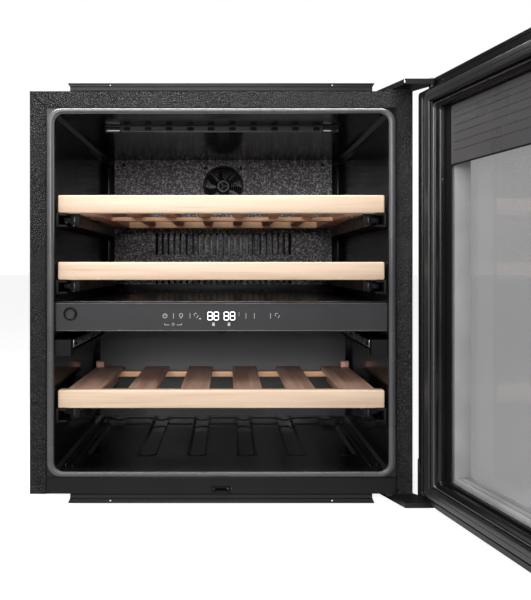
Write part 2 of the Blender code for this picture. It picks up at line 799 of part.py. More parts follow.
def slide_member(name, side, base, rear):
    """The steel strip under a shelf's side rail, with the head that runs in the channel."""
    z = base - RUNNER_DROP
    web = SIDE_RAIL_OUTER + GAP
    back = web + 0.002
    head = 0.0024
    ledge = base - GAP
    section = [(web, z - 0.007), (back, z - 0.007), (back, z - head), (MEMBER_WEB, z - head)]
    section += [(MEMBER_WEB, z + head), (back, z + head), (back, ledge), (web - 0.008, ledge)]
    section += [(web - 0.008, ledge - 0.002), (web, ledge - 0.002)]
    low = FRONT + MEMBER_FRONT
    return finish(name, extruded([mirrored(section, side)], low, rear, "XZ"), bright_steel)


def ball_cage(name, side, base, front, length):
    """The cage that holds the bearing balls between the channel and the member's head."""
    z = base - RUNNER_DROP
    near, far = CAGE_NEAR, CAGE_FAR
    back = far - CAGE_WALL
    outer, inner = 0.0060, 0.0034
    section = [(near, z - outer), (far, z - outer), (far, z + outer), (near, z + outer)]
    section += [(near, z + inner), (back, z + inner), (back, z - inner), (near, z - inner)]
    low = FRONT + front
    return finish(name, extruded([mirrored(section, side)], low, low + length, "XZ"), bright_steel)


def front_rail(number, base):
    half = RAIL_WIDTH / 2
    front = FRONT + RAIL_FRONT
    rail = block((-half, front, base), (half, front + RAIL_DEPTH, base + RAIL_HEIGHT))
    bevel = rail.modifiers.new("Bevel", "BEVEL")
    bevel.width = RAIL_EDGE
    bevel.segments = 2
    return finish(f"shelf_{number}_front_rail", joined(rail), beech)


def shelf_sides(base, top, rear):
    front = FRONT + RAIL_FRONT + RAIL_DEPTH + GAP
    rails = []
    for side in (-1, 1):
        x0, x1 = sorted((side * SIDE_RAIL_INNER, side * SIDE_RAIL_OUTER))
        rails.append(block((x0, front, base), (x1, rear, top)))
    return rails


def cross_rail(front, base, top):
    half = SIDE_RAIL_INNER + 4 * OVERLAP
    low = (-half, front, base)
    return block(low, (half, front + CROSS_RAIL_DEPTH, top))


def batten_frame(number, base, rear):
    """An upper shelf's frame: two side rails, two cross rails and the battens on them."""
    front = FRONT + RAIL_FRONT + RAIL_DEPTH + GAP
    pieces = shelf_sides(base, base + SIDE_RAIL_TOP, rear)
    low = base - CROSS_RAIL_DROP
    pieces.append(cross_rail(FRONT + MID_RAIL_FRONT, low, base + MID_RAIL_TOP))
    pieces.append(cross_rail(rear - CROSS_RAIL_DEPTH - OVERLAP, low, base + REAR_RAIL_TOP))
    half = BATTEN_WIDTH / 2
    for x in evenly(BATTEN_COUNT, BATTEN_PITCH):
        batten_low = (x - half, front, base + BATTEN_BASE)
        pieces.append(block(batten_low, (x + half, rear - GAP, base + BATTEN_TOP)))
    return finish(f"shelf_{number}_frame", joined(*pieces), beech_dark)


def slat_frame(number, base, rear):
    """The lower shelf's frame: wide slats on two side rails, a rear rail and two end stops."""
    front = FRONT + RAIL_FRONT + RAIL_DEPTH + GAP
    slat_low, slat_top = base + SLAT_BASE, base + SLAT_TOP
    pieces = shelf_sides(base, slat_low + OVERLAP, rear - LOW_RAIL_REAR)
    last = rear - LOW_RAIL_REAR - CROSS_RAIL_DEPTH - OVERLAP
    for near in (front + OVERLAP, last):
        pieces.append(cross_rail(near, base + LOW_RAIL_BASE, slat_low + 2 * OVERLAP))
    half = SLAT_WIDTH / 2
    for x in evenly(SLAT_COUNT - 2, SLAT_PITCH):
        pieces.append(block((x - half, front, slat_low), (x + half, rear, slat_top)))
    for side in (-1, 1):
        x0, x1 = sorted((side * END_SLAT_INNER, side * END_SLAT_OUTER))
        pieces.append(block((x0, front, slat_low), (x1, rear, slat_top)))
        edge = END_SLAT_OUTER - OVERLAP
        b0, b1 = sorted((side * edge, side * (edge - STOP_BLOCK)))
        stop = (b1, rear - OVERLAP, slat_top + STOP_BLOCK_RISE)
        pieces.append(block((b0, rear - STOP_BLOCK, slat_top - OVERLAP), stop))
    return finish(f"shelf_{number}_frame", joined(*pieces), beech_dark)


def shelf(number, base, depth):
    rear = FRONT + depth
    low = depth < LOWER_DEPTH
    zone_rear = FRONT + (LOWER_DEPTH if low else COVER_FACE)
    frame = (slat_frame if low else batten_frame)(number, base, rear)
    moving = [front_rail(number, base), frame]
    cages = []
    for side, where in ((-1, "left"), (1, "right")):
        title = f"shelf_{number}_{where}"
        runner(f"{title}_runner", side, base, zone_rear - RUNNER_REAR_GAP)
        moving.append(slide_member(f"{title}_slide", side, base, rear - MEMBER_REAR_GAP))
        start = LOW_CAGE_FRONT if low else CAGE_FRONT
        length = LOW_CAGE_LENGTH if low else CAGE_LENGTH
        cages.append(ball_cage(f"{title}_cage", side, base, start, length))
    axis_empty(f"shelf_{number}_slide_axis", (0, FRONT, base), moving)
    axis_empty(f"shelf_{number}_cage_axis", (0, FRONT, base - RUNNER_DROP), cages)


def spare_runner(side, where):
    """An unused runner, with the block that closes its front end."""
    base = SPARE_RUNNER_BASE
    z = base - RUNNER_DROP
    body = runner("spare", side, base, FRONT + LOWER_DEPTH - RUNNER_REAR_GAP)
    x0, x1 = sorted((side * (SIDE_RAIL_OUTER + GAP), side * (CAVITY_HALF - GAP)))
    front = FRONT + RUNNER_FRONT - 0.003
    low = (x0, front, z - SPARE_BLOCK_HALF)
    end = block(low, (x1, front + SPARE_BLOCK_LENGTH, z + SPARE_BLOCK_HALF))
    web = SIDE_RAIL_OUTER + GAP
    flange = z + RUNNER_HALF_HEIGHT
    hook = [(web, z - 0.0015), (web + 0.002, z - 0.0015), (web + 0.002, flange - 0.0015)]
    hook += [(RUNNER_INNER + 0.002, flange - 0.0015), (RUNNER_INNER + 0.002, flange + OVERLAP)]
    hook.append((web, flange + OVERLAP))
    strip_front = front + SPARE_BLOCK_LENGTH - OVERLAP
    strip_rear = FRONT + LOWER_DEPTH - 2 * RUNNER_REAR_GAP
    strip = extruded([mirrored(hook, side)], strip_front, strip_rear, "XZ")
    return finish(f"spare_runner_{where}", joined(body, end, strip), matte_plastic)


# ---- machinery in the rear bay ----
def compressor():
    radius = COMPRESSOR_RADIUS
    low = COMPRESSOR_BASE
    high = low + COMPRESSOR_HEIGHT
    dome = [(radius * math.sin(a), high - 0.03 * (1 - math.cos(a))) for a in (0, 0.5, 1.0, 1.35)]
    profile = dome + [(radius, high - 0.034), (radius, low + 0.02), (radius * 0.8, low)]
    profile.append((0, low))
    place = (COMPRESSOR_X, FRONT + COMPRESSOR_Y, 0)
    pot = turned(profile, place)
    plate_top = low + 0.008
    reach = radius + 0.010
    y = FRONT + COMPRESSOR_Y
    plate = block(
        (COMPRESSOR_X - reach - 0.015, y - radius * 0.8, low + 0.003),
        (COMPRESSOR_X + reach + 0.015, y + radius * 0.8, plate_top),
    )
    grommets = []
    for sx in (-1, 1):
        for sy in (-1, 1):
            at = (COMPRESSOR_X + sx * reach, y + sy * radius * 0.6)
            span = plate_top - PAN_SHEET - GAP - OVERLAP
            middle = PAN_SHEET + GAP + span / 2
            grommets.append(rod((*at, middle), 0.009, span, "Z", 12))
    return finish("compressor", joined(pot, plate, *grommets), satin_black_paint)


def condenser():
    low = BAY_FRONT + BAY_INSET
    high = low + COOLING_FAN_SIZE
    top = BAY_FLOOR + CONDENSER_HEIGHT
    body = finned_block(
        "condenser", low, high, BAY_FLOOR, top, CONDENSER_LEFT, CONDENSER_RIGHT,
        "YZ", CONDENSER_FINS, dark_fins,
    )
    stands = [body]
    for x in (CONDENSER_LEFT + BAY_INSET, CONDENSER_RIGHT - BAY_INSET):
        foot_low = (x - 0.003, low + BAY_INSET, PAN_SHEET + GAP)
        stands.append(block(foot_low, (x + 0.003, high - BAY_INSET, BAY_FLOOR + 0.001)))
    return joined(*stands)


def cooling_fan():
    y = BAY_FRONT + BAY_INSET + COOLING_FAN_SIZE / 2
    z = BAY_FLOOR + COOLING_FAN_SIZE / 2
    place = (y, z, COOLING_FAN_LEFT)
    frame = fan_frame(
        "condenser_fan_frame", COOLING_FAN_SIZE, COOLING_FAN_DEPTH, COOLING_FAN_RADIUS,
        COOLING_FAN_HUB, place, "X", matte_plastic,
    )
    low = (COOLING_FAN_LEFT + 0.004, y - BAY_INSET * 4, PAN_SHEET + GAP)
    stand = block(low, (COOLING_FAN_LEFT + 0.012, y + BAY_INSET * 4, BAY_FLOOR + 0.001))
    joined(frame, stand)
    centre = (COOLING_FAN_LEFT + COOLING_FAN_DEPTH * 0.44, y, z)
    depth = COOLING_FAN_DEPTH * 0.6
    fan_rotor(
        "condenser_fan_rotor", COOLING_FAN_RADIUS, COOLING_FAN_HUB, depth, centre, "X", grey_plastic
    )


def cold_fan():
    low = FRONT + COVER_FACE + COVER_SHEET + GAP
    place = (0, FAN_Z, low)
    fan_frame(
        "evaporator_fan_frame", FAN_SIZE, FAN_DEPTH, FAN_RADIUS, FAN_HUB, place, "Y", matte_plastic
    )
    centre = (0, low + FAN_DEPTH * 0.44, FAN_Z)
    fan_rotor(
        "evaporator_fan_rotor", FAN_RADIUS, FAN_HUB, FAN_DEPTH * 0.6, centre, "Y", grey_plastic
    )


def cord_gland():
    """The grommet in the rear panel where a mains lead would enter."""
    stem = rod((GLAND_X, REAR - 0.002, GLAND_Z), GLAND_RADIUS, 0.012, "Y", 16)
    flange = rod((GLAND_X, REAR + GAP + 0.002, GLAND_Z), GLAND_FLANGE, 0.004, "Y", 16)
    return finish("cord_gland", joined(stem, flange), matte_plastic, smooth=True)


# ---- door, drawn shut and then turned about its pins ----
def door():
    half = DOOR_WIDTH / 2
    face = DOOR_FACE
    split = face - INNER_FRAME_DEPTH
    rebate = face - GLASS_REBATE
    back = face - DOOR_THICKNESS
    window = half - WINDOW_INSET
    seat = window + GLASS_OVERLAP
    seat_low = WINDOW_BOTTOM - GLASS_OVERLAP
    seat_high = WINDOW_TOP + GLASS_OVERLAP
    glazing = rectangle(-seat, seat, seat_low, seat_high)

    shell = rounded(-half, half, INNER_FRAME_BOTTOM, INNER_FRAME_TOP, 0.004, 2)
    opening = rounded(-window, window, WINDOW_BOTTOM, WINDOW_TOP, 0.006)
    lip = extruded([shell, opening], rebate, face, "XZ")
    ring = extruded([shell, glazing], split, rebate + OVERLAP, "XZ")
    bores = []
    for edge in (INNER_FRAME_BOTTOM, INNER_FRAME_TOP):
        length = 2 * (PIN_ENGAGEMENT + 0.001)
        bores.append(rod((PIVOT.x, PIVOT.y, edge), PIN_RADIUS + PIN_CLEARANCE, length, "Z", 16))
    inner = finish("door_inner_frame", cut(joined(lip, ring), *bores), satin_black)

    rim = rounded(-half, half, DOOR_BOTTOM, DOOR_TOP, 0.003, 2)
    glass_front = back + OUTER_GLASS_THICKNESS
    outer = extruded([rim, glazing], glass_front + GAP, split - GAP, "XZ")
    outer = finish("door_outer_frame", outer, satin_black)

    outer_pane = extruded([rim], back, glass_front, "XZ")
    outer_pane = finish("door_outer_glass", outer_pane, smoked_glass)

    margin = 0.001
    pane = rectangle(-seat + margin, seat - margin, seat_low + margin, seat_high - margin)
    pane_face = rebate - GAP
    inner_pane = extruded([pane], pane_face - GLASS_THICKNESS, pane_face, "XZ")
    inner_pane = finish("door_inner_glass", inner_pane, clear_glass)

    centre = half - GASKET_INSET
    low = DOOR_BOTTOM + GASKET_RISE
    high = DOOR_TOP - GASKET_RISE
    outside = rounded(
        -centre - GASKET_HALF, centre + GASKET_HALF, low - GASKET_HALF, high + GASKET_HALF, 0.010
    )
    inside = rounded(
        -centre + GASKET_HALF, centre - GASKET_HALF, low + GASKET_HALF, high - GASKET_HALF, 0.004
    )
    seal = extruded([outside, inside], face + GAP, FRONT - GASKET_CLEARANCE, "XZ")
    seal = finish("door_gasket", seal, rubber)

    hinge = axis_empty("door_axis", PIVOT, [inner, outer, outer_pane, inner_pane, seal])
    hinge.rotation_euler.z = DOOR_OPEN


clear_scene()
parts = new_collection("wine_cooler")

textured_paint = material("textured_black_paint", (0.030, 0.030, 0.032), 0.55)
smooth_black = material("smooth_black_sill", (0.035, 0.035, 0.037), 0.38)
gloss_black = material("gloss_black_liner", (0.020, 0.020, 0.021), 0.18)
satin_black = material("satin_black_frame", (0.040, 0.040, 0.042), 0.40)
satin_grey = material("satin_grey_fascia", (0.075, 0.075, 0.080), 0.35)
hammered_grey = material("hammered_grey_cover", (0.100, 0.100, 0.105), 0.45)
matte_plastic = material("matte_black_plastic", (0.030, 0.030, 0.030), 0.60)
grey_plastic = material("grey_plastic", (0.120, 0.120, 0.120), 0.50)
painted_steel = material("black_painted_steel", (0.060, 0.060, 0.062), 0.40)
bright_steel = material("bright_steel", (0.550, 0.550, 0.560), 0.30, metallic=1.0)
zinc = material("zinc_coated_sheet", (0.480, 0.490, 0.500), 0.45, metallic=1.0)
satin_black_paint = material("compressor_black", (0.025, 0.025, 0.026), 0.35)
dark_fins = material("painted_fins", (0.080, 0.080, 0.085), 0.50)
silver_fins = material("aluminium_fins", (0.700, 0.710, 0.720), 0.40, metallic=1.0)
beech = material("beech", (0.860, 0.680, 0.460), 0.45)
beech_dark = material("beech_shaded", (0.560, 0.380, 0.270), 0.55)
foam_yellow = material("foam", (0.780, 0.680, 0.420), 0.90)
rubber = material("black_rubber", (0.025, 0.025, 0.025), 0.55)
smoked_glass = material("smoked_glass", (0.020, 0.020, 0.022), 0.05, alpha=0.5)
clear_glass = material("clear_glass", (0.450, 0.460, 0.460), 0.03, alpha=0.3)

outer_wrapper()
front_sill()
base_pan()
inner_liner()
insulation()
rear_panel()
feet()
mounting_strip("top_mounting_strip", CABINET_HEIGHT + GAP, STRIP_HEIGHT)
mounting_strip("bottom_mounting_strip", -GAP, GAP - BOTTOM_STRIP_DROP)
hinge_plate("top_hinge_plate", CABINET_HEIGHT + GAP, 1)
hinge_plate("bottom_hinge_plate", -GAP, -1)
latch()
divider()
control_fascia()
panel_button()
evaporator_cover()
cold_fan()
coil_front = FRONT + COVER_FACE + COVER_SHEET + FOAM_BASE_GAP
finned_block(
    "evaporator",
    -EVAPORATOR_WIDTH / 2,
    EVAPORATOR_WIDTH / 2,
    EVAPORATOR_BASE,
    EVAPORATOR_BASE + EVAPORATOR_HEIGHT,
    coil_front,
    coil_front + EVAPORATOR_DEPTH,
    "XZ",
    EVAPORATOR_FINS,
    silver_fins,
)
light_bar()
for index in range(len(SHELF_BASES)):
    shelf(index + 1, SHELF_BASES[index], SHELF_DEPTHS[index])
spare_runner(-1, "left")
spare_runner(1, "right")
compressor()
condenser()
cooling_fan()
cord_gland()
door()
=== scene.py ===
"""A built-in wine cooler with two zones, its glass door standing open.

Metres, except in what mm() is given. +X is to the right seen from the front,
+Y runs into the cabinet and +Z is up.
"""

import json
import math

import bmesh
import bpy
from mathutils import Matrix, Vector

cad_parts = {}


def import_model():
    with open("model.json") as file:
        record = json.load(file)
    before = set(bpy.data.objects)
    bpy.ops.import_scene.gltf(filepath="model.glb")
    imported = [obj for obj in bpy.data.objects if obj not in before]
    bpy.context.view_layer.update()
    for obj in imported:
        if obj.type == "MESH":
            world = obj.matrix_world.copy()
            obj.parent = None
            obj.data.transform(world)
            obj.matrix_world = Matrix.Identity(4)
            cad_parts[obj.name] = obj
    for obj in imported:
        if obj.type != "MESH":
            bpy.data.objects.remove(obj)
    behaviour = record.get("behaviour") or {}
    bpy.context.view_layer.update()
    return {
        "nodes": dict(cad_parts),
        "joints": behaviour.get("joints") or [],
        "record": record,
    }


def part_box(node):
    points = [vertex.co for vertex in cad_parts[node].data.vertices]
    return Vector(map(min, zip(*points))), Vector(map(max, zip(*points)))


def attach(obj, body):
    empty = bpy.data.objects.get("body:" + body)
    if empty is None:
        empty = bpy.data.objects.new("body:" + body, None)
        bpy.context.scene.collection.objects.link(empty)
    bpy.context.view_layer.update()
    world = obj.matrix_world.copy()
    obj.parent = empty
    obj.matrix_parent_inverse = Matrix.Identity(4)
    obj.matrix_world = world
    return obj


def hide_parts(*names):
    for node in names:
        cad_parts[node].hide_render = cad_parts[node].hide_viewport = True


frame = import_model()
nodes = frame["nodes"]
bpy.context.scene.view_settings.view_transform = "Standard"

# ---- places taken from the frame ----
JOINT_OF = {joint["child"]: joint for joint in frame["joints"]}
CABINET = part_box("outer_wrapper")
FRONT = CABINET[0].y
COVER_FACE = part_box("evaporator_cover")[0].y
FAN_CENTRE = Vector(JOINT_OF["evaporator_fan"]["pos_m"])
PIVOT = Vector(JOINT_OF["door"]["pos_m"])
OPENED = math.radians(-JOINT_OF["door"]["range_deg"][0])
TO_OPEN = Matrix.Translation(PIVOT) @ Matrix.Rotation(OPENED, 4, "Z") @ Matrix.Translation(-PIVOT)
DOOR_FACE = FRONT - 0.00815
HALF_DOOR = 0.2975
GLASS_BACK = 0.01008
TROUGHS, TROUGH_PITCH = 6, 0.0766
LOWER_BACK = FRONT + 0.350
SIDES = (-1, 1)
STRIPS = (("top_mounting_strip", 1), ("bottom_mounting_strip", -1))


def mm(*pairs):
    """Pairs of millimetres, in metres."""
    return [(a * 0.001, b * 0.001) for a, b in pairs]


# ---- mesh helpers ----
def object_of(name, mesh):
    obj = bpy.data.objects.new(name, mesh)
    bpy.context.scene.collection.objects.link(obj)
    return obj


def mesh_of(bm, name="shape"):
    mesh = bpy.data.meshes.new(name)
    bm.to_mesh(mesh)
    bm.free()
    return mesh


def smooth(mesh, degrees=35):
    mesh.shade_smooth()
    mesh.set_sharp_from_angle(angle=math.radians(degrees))
    return mesh


def evaluated_mesh(obj):
    bpy.context.view_layer.update()
    graph = bpy.context.evaluated_depsgraph_get()
    return bpy.data.meshes.new_from_object(obj.evaluated_get(graph))


def settled(obj):
    """The object with its modifiers worked into its mesh."""
    mesh = evaluated_mesh(obj)
    obj.modifiers.clear()
    obj.data = mesh
    return obj


def turned(mesh, matrix):
    mesh.transform(matrix)
    return mesh


def facing_front(place, way=1):
    """Turns a shape drawn along Z to face the front (or the back), at a place."""
    return Matrix.Translation(place) @ Matrix.Rotation(way * math.pi / 2, 4, "X")


def along(axis):
    """The turn from Z to another axis."""
    turn = Vector((0, 0, 1)).rotation_difference(axis)
    return turn.to_matrix().to_4x4()


def axis_of(letter):
    return Vector([a == letter for a in "XYZ"])


def board_mesh(low, high, edge=0.0008, segments=2):
    """A block with rounded edges, from its lowest to its highest corner."""
    low, high = Vector(low), Vector(high)
    bm = bmesh.new()
    bmesh.ops.create_cube(bm, size=1)
    bmesh.ops.scale(bm, vec=high - low, verts=bm.verts)
    bmesh.ops.translate(bm, vec=(low + high) / 2, verts=bm.verts)
    bmesh.ops.bevel(
        bm, geom=list(bm.edges), offset=edge, segments=segments, affect="EDGES", profile=0.5
    )
    return smooth(mesh_of(bm), 30)


def board_on(side, near, far, low, high, edge=0.0008, segments=2):
    """A block on one side of the middle; low and high are its (y, z) corners."""
    x0, x1 = sorted((side * near, side * far))
    return board_mesh((x0, *low), (x1, *high), edge, segments)


def boards_both(near, far, low, high, edge=0.0008, segments=2):
    return [board_on(side, near, far, low, high, edge, segments) for side in SIDES]


def merged(name, meshes):
    """Several meshes in one object."""
    bm = bmesh.new()
    for mesh in meshes:
        bm.from_mesh(mesh)
    return object_of(name, smooth(mesh_of(bm, name)))


def arc_of(radius, steps, x=0.0, y=0.0):
    turns = [2 * math.pi * i / steps for i in range(steps)]
    return [(x + radius * math.cos(a), y + radius * math.sin(a)) for a in turns]


def lathe_mesh(profile, steps=24, axis="Z", centre=(0, 0, 0)):
    """A turned shape, from a profile of (radius, height) that starts and ends on the axis."""
    bm = bmesh.new()
    rows = []
    for radius, height in profile:
        loop = arc_of(radius, steps) if radius else [(0, 0)]
        rows.append([bm.verts.new((x, y, height)) for x, y in loop])
    for one, two in zip(rows, rows[1:]):
        for i in range(steps):
            a, b = one[i % len(one)], one[(i + 1) % len(one)]
            c, d = two[(i + 1) % len(two)], two[i % len(two)]
            corners = list(dict.fromkeys((a, b, c, d)))
            if len(corners) > 2:
                bm.faces.new(corners)
    bmesh.ops.recalc_face_normals(bm, faces=bm.faces)
    bm.transform(Matrix.Translation(centre) @ along(axis_of(axis)))
    return smooth(mesh_of(bm))


def rounded(u0, u1, v0, v1, radius, steps=5):
    """A rectangle with round corners, counter-clockwise."""
    points = []
    for u, v, start in (
        (u1 - radius, v0 + radius, -0.5),
        (u1 - radius, v1 - radius, 0.0),
        (u0 + radius, v1 - radius, 0.5),
        (u0 + radius, v0 + radius, 1.0),
    ):
        for i in range(steps + 1):
            angle = math.pi * (start + 0.5 * i / steps)
            points.append((u + radius * math.cos(angle), v + radius * math.sin(angle)))
    return points


def loft_mesh(loops, whole=True):
    """Joins loops of points one after another, and the last to the first if whole."""
    bm = bmesh.new()
    rings = [[bm.verts.new(p) for p in loop] for loop in loops]
    pairs = list(zip(rings, rings[1:]))
    if whole:
        pairs.append((rings[-1], rings[0]))
    for one, two in pairs:
        for i in range(len(one)):
            j = (i + 1) % len(one)
            bm.faces.new((one[i], one[j], two[j], two[i]))
    if not whole:
        bm.faces.new(rings[0])
        bm.faces.new(rings[-1])
    bmesh.ops.recalc_face_normals(bm, faces=bm.faces)
    return smooth(mesh_of(bm))


def ring_mesh(profile, outline, plane=0.0, way=1):
    """A frame whose cross-section is a closed profile of (inset, depth).

    outline(inset) gives the (x, z) loop at that inset. Depth runs from the plane
    along +Y, or along -Y where way is -1.
    """
    return loft_mesh([[(x, plane + way * d, z) for x, z in outline(inset)] for inset, d in profile])


def circle(radius, x=0.0, z=0.0, steps=48):
    """The round outline of a ring."""
    return lambda inset: arc_of(radius - inset, steps, x, z)


def plate_mesh(outline, low, high):
    """A flat outline in x and z, thick from low to high along y."""
    bm = bmesh.new()
    face = bm.faces.new([bm.verts.new((x, low, z)) for x, z in outline])
    made = bmesh.ops.extrude_face_region(bm, geom=[face])["geom"]
    moved = [v for v in made if isinstance(v, bmesh.types.BMVert)]
    bmesh.ops.translate(bm, vec=(0, high - low, 0), verts=moved)
    bmesh.ops.recalc_face_normals(bm, faces=bm.faces)
    return mesh_of(bm)


def wire(path, radius):
    """A round bead along a path."""
    curve = bpy.data.curves.new("bead", "CURVE")
    curve.dimensions = "3D"
    curve.bevel_depth = radius
    curve.bevel_resolution = 2
    curve.use_fill_caps = True
    spline = curve.splines.new("POLY")
    spline.points.add(len(path) - 1)
    for point, place in zip(spline.points, path):
        point.co = (*place, 1)
    guide = object_of("bead", curve)
    mesh = evaluated_mesh(guide)
    bpy.data.objects.remove(guide)
    return mesh


# ---- geometry-node helpers ----
def new_tree(name, sockets):
    tree = bpy.data.node_groups.new(name, "GeometryNodeTree")
    for title, kind in sockets.items():
        tree.interface.new_socket(title, in_out="INPUT", socket_type="NodeSocket" + kind)
    tree.interface.new_socket("Geometry", in_out="OUTPUT", socket_type="NodeSocketGeometry")
    return tree, tree.nodes.new("NodeGroupInput"), tree.nodes.new("NodeGroupOutput")


def copies_on(tree, points, given, group_out, rotation=None):
    """Puts the given shape on each point, realises the copies and gives them their finish."""
    link = tree.links.new
    shape = tree.nodes.new("GeometryNodeObjectInfo")
    link(given.outputs["Shape"], shape.inputs["Object"])
    copies = tree.nodes.new("GeometryNodeInstanceOnPoints")
    link(points, copies.inputs["Points"])
    link(shape.outputs["Geometry"], copies.inputs["Instance"])
    if rotation:
        link(rotation, copies.inputs["Rotation"])
    real = tree.nodes.new("GeometryNodeRealizeInstances")
    link(copies.outputs["Instances"], real.inputs["Geometry"])
    finish = tree.nodes.new("GeometryNodeSetMaterial")
    link(real.outputs["Geometry"], finish.inputs["Geometry"])
    link(given.outputs["Finish"], finish.inputs["Material"])
    link(finish.outputs["Geometry"], group_out.inputs["Geometry"])


SHAPE_AND_FINISH = {"Shape": "Object", "Finish": "Material"}


def rows_tree():
    """Copies of a shape in rows, one step apart, each row one rise above the last."""
    places = {"Start": "Vector", "Step": "Vector", "Rise": "Vector"}
    sockets = {**SHAPE_AND_FINISH, "Copies": "Int", "Rows": "Int", **places}
    tree, given, group_out = new_tree("copies_in_rows", sockets)
    link = tree.links.new
    across = tree.nodes.new("GeometryNodeMeshLine")
    link(given.outputs["Copies"], across.inputs["Count"])
    link(given.outputs["Start"], across.inputs["Start Location"])
    link(given.outputs["Step"], across.inputs["Offset"])
    up = tree.nodes.new("GeometryNodeMeshLine")
    link(given.outputs["Rows"], up.inputs["Count"])
    link(given.outputs["Rise"], up.inputs["Offset"])
    grid = tree.nodes.new("GeometryNodeInstanceOnPoints")
    link(across.outputs["Mesh"], grid.inputs["Points"])
    link(up.outputs["Mesh"], grid.inputs["Instance"])
    real = tree.nodes.new("GeometryNodeRealizeInstances")
    link(grid.outputs["Instances"], real.inputs["Geometry"])
    copies_on(tree, real.outputs["Geometry"], given, group_out)
    return tree


def turns_tree():
    """Copies of a shape turned evenly about the Z axis."""
    tree, given, group_out = new_tree("copies_in_a_ring", {**SHAPE_AND_FINISH, "Copies": "Int"})
    link = tree.links.new
    spots = tree.nodes.new("GeometryNodeMeshLine")
    link(given.outputs["Copies"], spots.inputs["Count"])
    spots.inputs["Offset"].default_value = (0, 0, 0)
    index = tree.nodes.new("GeometryNodeInputIndex")
    share = tree.nodes.new("ShaderNodeMath")
    share.operation = "DIVIDE"
    link(index.outputs[0], share.inputs[0])
    link(given.outputs["Copies"], share.inputs[1])
    angle = tree.nodes.new("ShaderNodeMath")
    angle.operation = "MULTIPLY"
    link(share.outputs[0], angle.inputs[0])
    angle.inputs[1].default_value = 2 * math.pi
    turn = tree.nodes.new("ShaderNodeCombineXYZ")
    link(angle.outputs[0], turn.inputs["Z"])
    copies_on(tree, spots.outputs["Mesh"], given, group_out, turn.outputs[0])
    return tree


def spots_tree():
    """Copies of a shape on the points of the object's own mesh."""
    sockets = {"Geometry": "Geometry", **SHAPE_AND_FINISH}
    tree, given, group_out = new_tree("copies_on_spots", sockets)
    copies_on(tree, given.outputs["Geometry"], given, group_out)
    return tree


ROWS, TURNS, SPOTS = rows_tree(), turns_tree(), spots_tree()


def grown(name, tree, shape, finish, points=(), **sizes):
    """A mesh object that a tree makes from a shape."""
    mesh = bpy.data.meshes.new(name)
    mesh.from_pydata(list(points), [], [])
    obj = object_of(name, mesh)
    pattern = object_of("pattern", shape)
    modifier = obj.modifiers.new("Copies", "NODES")
    modifier.node_group = tree
    values = {"Shape": pattern, "Finish": finish, **sizes}
    for socket in tree.interface.items_tree:
        if socket.in_out == "INPUT" and socket.name in values:
            modifier[socket.identifier] = values[socket.name]
    settled(obj)
    bpy.data.objects.remove(pattern)
    return obj


def in_rows(name, shape, finish, start, step, copies, rise=(0, 0, 0), rows=1):
    sizes = {"Start": tuple(start), "Step": tuple(step), "Rise": tuple(rise)}
    return grown(name, ROWS, shape, finish, Copies=copies, Rows=rows, **sizes)


def on_spots(name, shape, finish, points):
    return grown(name, SPOTS, shape, finish, points)


def ring_of_copies(shape, finish, copies):
    """The mesh of a shape repeated round the Z axis."""
    obj = grown("ring_of_copies", TURNS, shape, finish, Copies=copies)
    mesh = obj.data
    bpy.data.objects.remove(obj)
    return mesh


def fit(obj, body, finish=None, stands_for=()):
    """Lets a finished piece ride on its body, with its finish."""
    if finish:
        obj.data.materials.clear()
        obj.data.materials.append(finish)
    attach(obj, body)
    if stands_for:
        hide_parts(*stands_for)


def build(name, meshes, body, finish, stands_for=()):
    """One piece made of several meshes, riding on its body."""
    fit(merged(name, meshes), body, finish, stands_for)


# ---- finishes ----
def shader_of(name, color, roughness, metallic=0.0, shine=0.5):
    finish = bpy.data.materials.new(name)
    finish.use_nodes = True
    shader = finish.node_tree.nodes["Principled BSDF"]
    shader.inputs["Base Color"].default_value = (*color, 1)
    shader.inputs["Roughness"].default_value = roughness
    shader.inputs["Metallic"].default_value = metallic
    shader.inputs["Specular IOR Level"].default_value = shine
    return finish, finish.node_tree, shader


def grain(tree, size, detail=3.0, stretch=(1, 1, 1)):
    """A noise of a given grain size on the piece's own coordinates."""
    place = tree.nodes.new("ShaderNodeTexCoord")
    scale = tree.nodes.new("ShaderNodeMapping")
    scale.inputs["Scale"].default_value = stretch
    tree.links.new(place.outputs["Object"], scale.inputs["Vector"])
    noise = tree.nodes.new("ShaderNodeTexNoise")
    noise.inputs["Scale"].default_value = 1 / size
    noise.inputs["Detail"].default_value = detail
    tree.links.new(scale.outputs["Vector"], noise.inputs["Vector"])
    return noise.outputs["Fac"]


def ramp(tree, value, *stops):
    """Colours along a value, from (place, colour) stops."""
    colors = tree.nodes.new("ShaderNodeValToRGB")
    band = colors.color_ramp
    while len(band.elements) < len(stops):
        band.elements.new(0.5)
    for element, (place, color) in zip(band.elements, stops):
        element.position = place
        element.color = (*color, 1)
    tree.links.new(value, colors.inputs["Fac"])
    return colors.outputs["Color"]


def spread(tree, value, low, high, start=0.3, end=0.7):
    """The value's middle range, spread from low to high."""
    remap = tree.nodes.new("ShaderNodeMapRange")
    remap.inputs["From Min"].default_value = start
    remap.inputs["From Max"].default_value = end
    remap.inputs["To Min"].default_value = low
    remap.inputs["To Max"].default_value = high
    tree.links.new(value, remap.inputs["Value"])
    return remap.outputs["Result"]


def relief(tree, shader, value, depth, strength=1.0):
    bump = tree.nodes.new("ShaderNodeBump")
    bump.inputs["Distance"].default_value = depth
    bump.inputs["Strength"].default_value = strength
    tree.links.new(value, bump.inputs["Height"])
    tree.links.new(bump.outputs["Normal"], shader.inputs["Normal"])


def tinted(color, factor):
    return tuple(min(1.0, c * factor) for c in color)


def shaded(tree, shader, value, color, dark, light):
    """Lets the colour drift with a value, from dark to light times itself."""
    band = ramp(tree, value, (0.3, tinted(color, dark)), (0.7, tinted(color, light)))
    tree.links.new(band, shader.inputs["Base Color"])


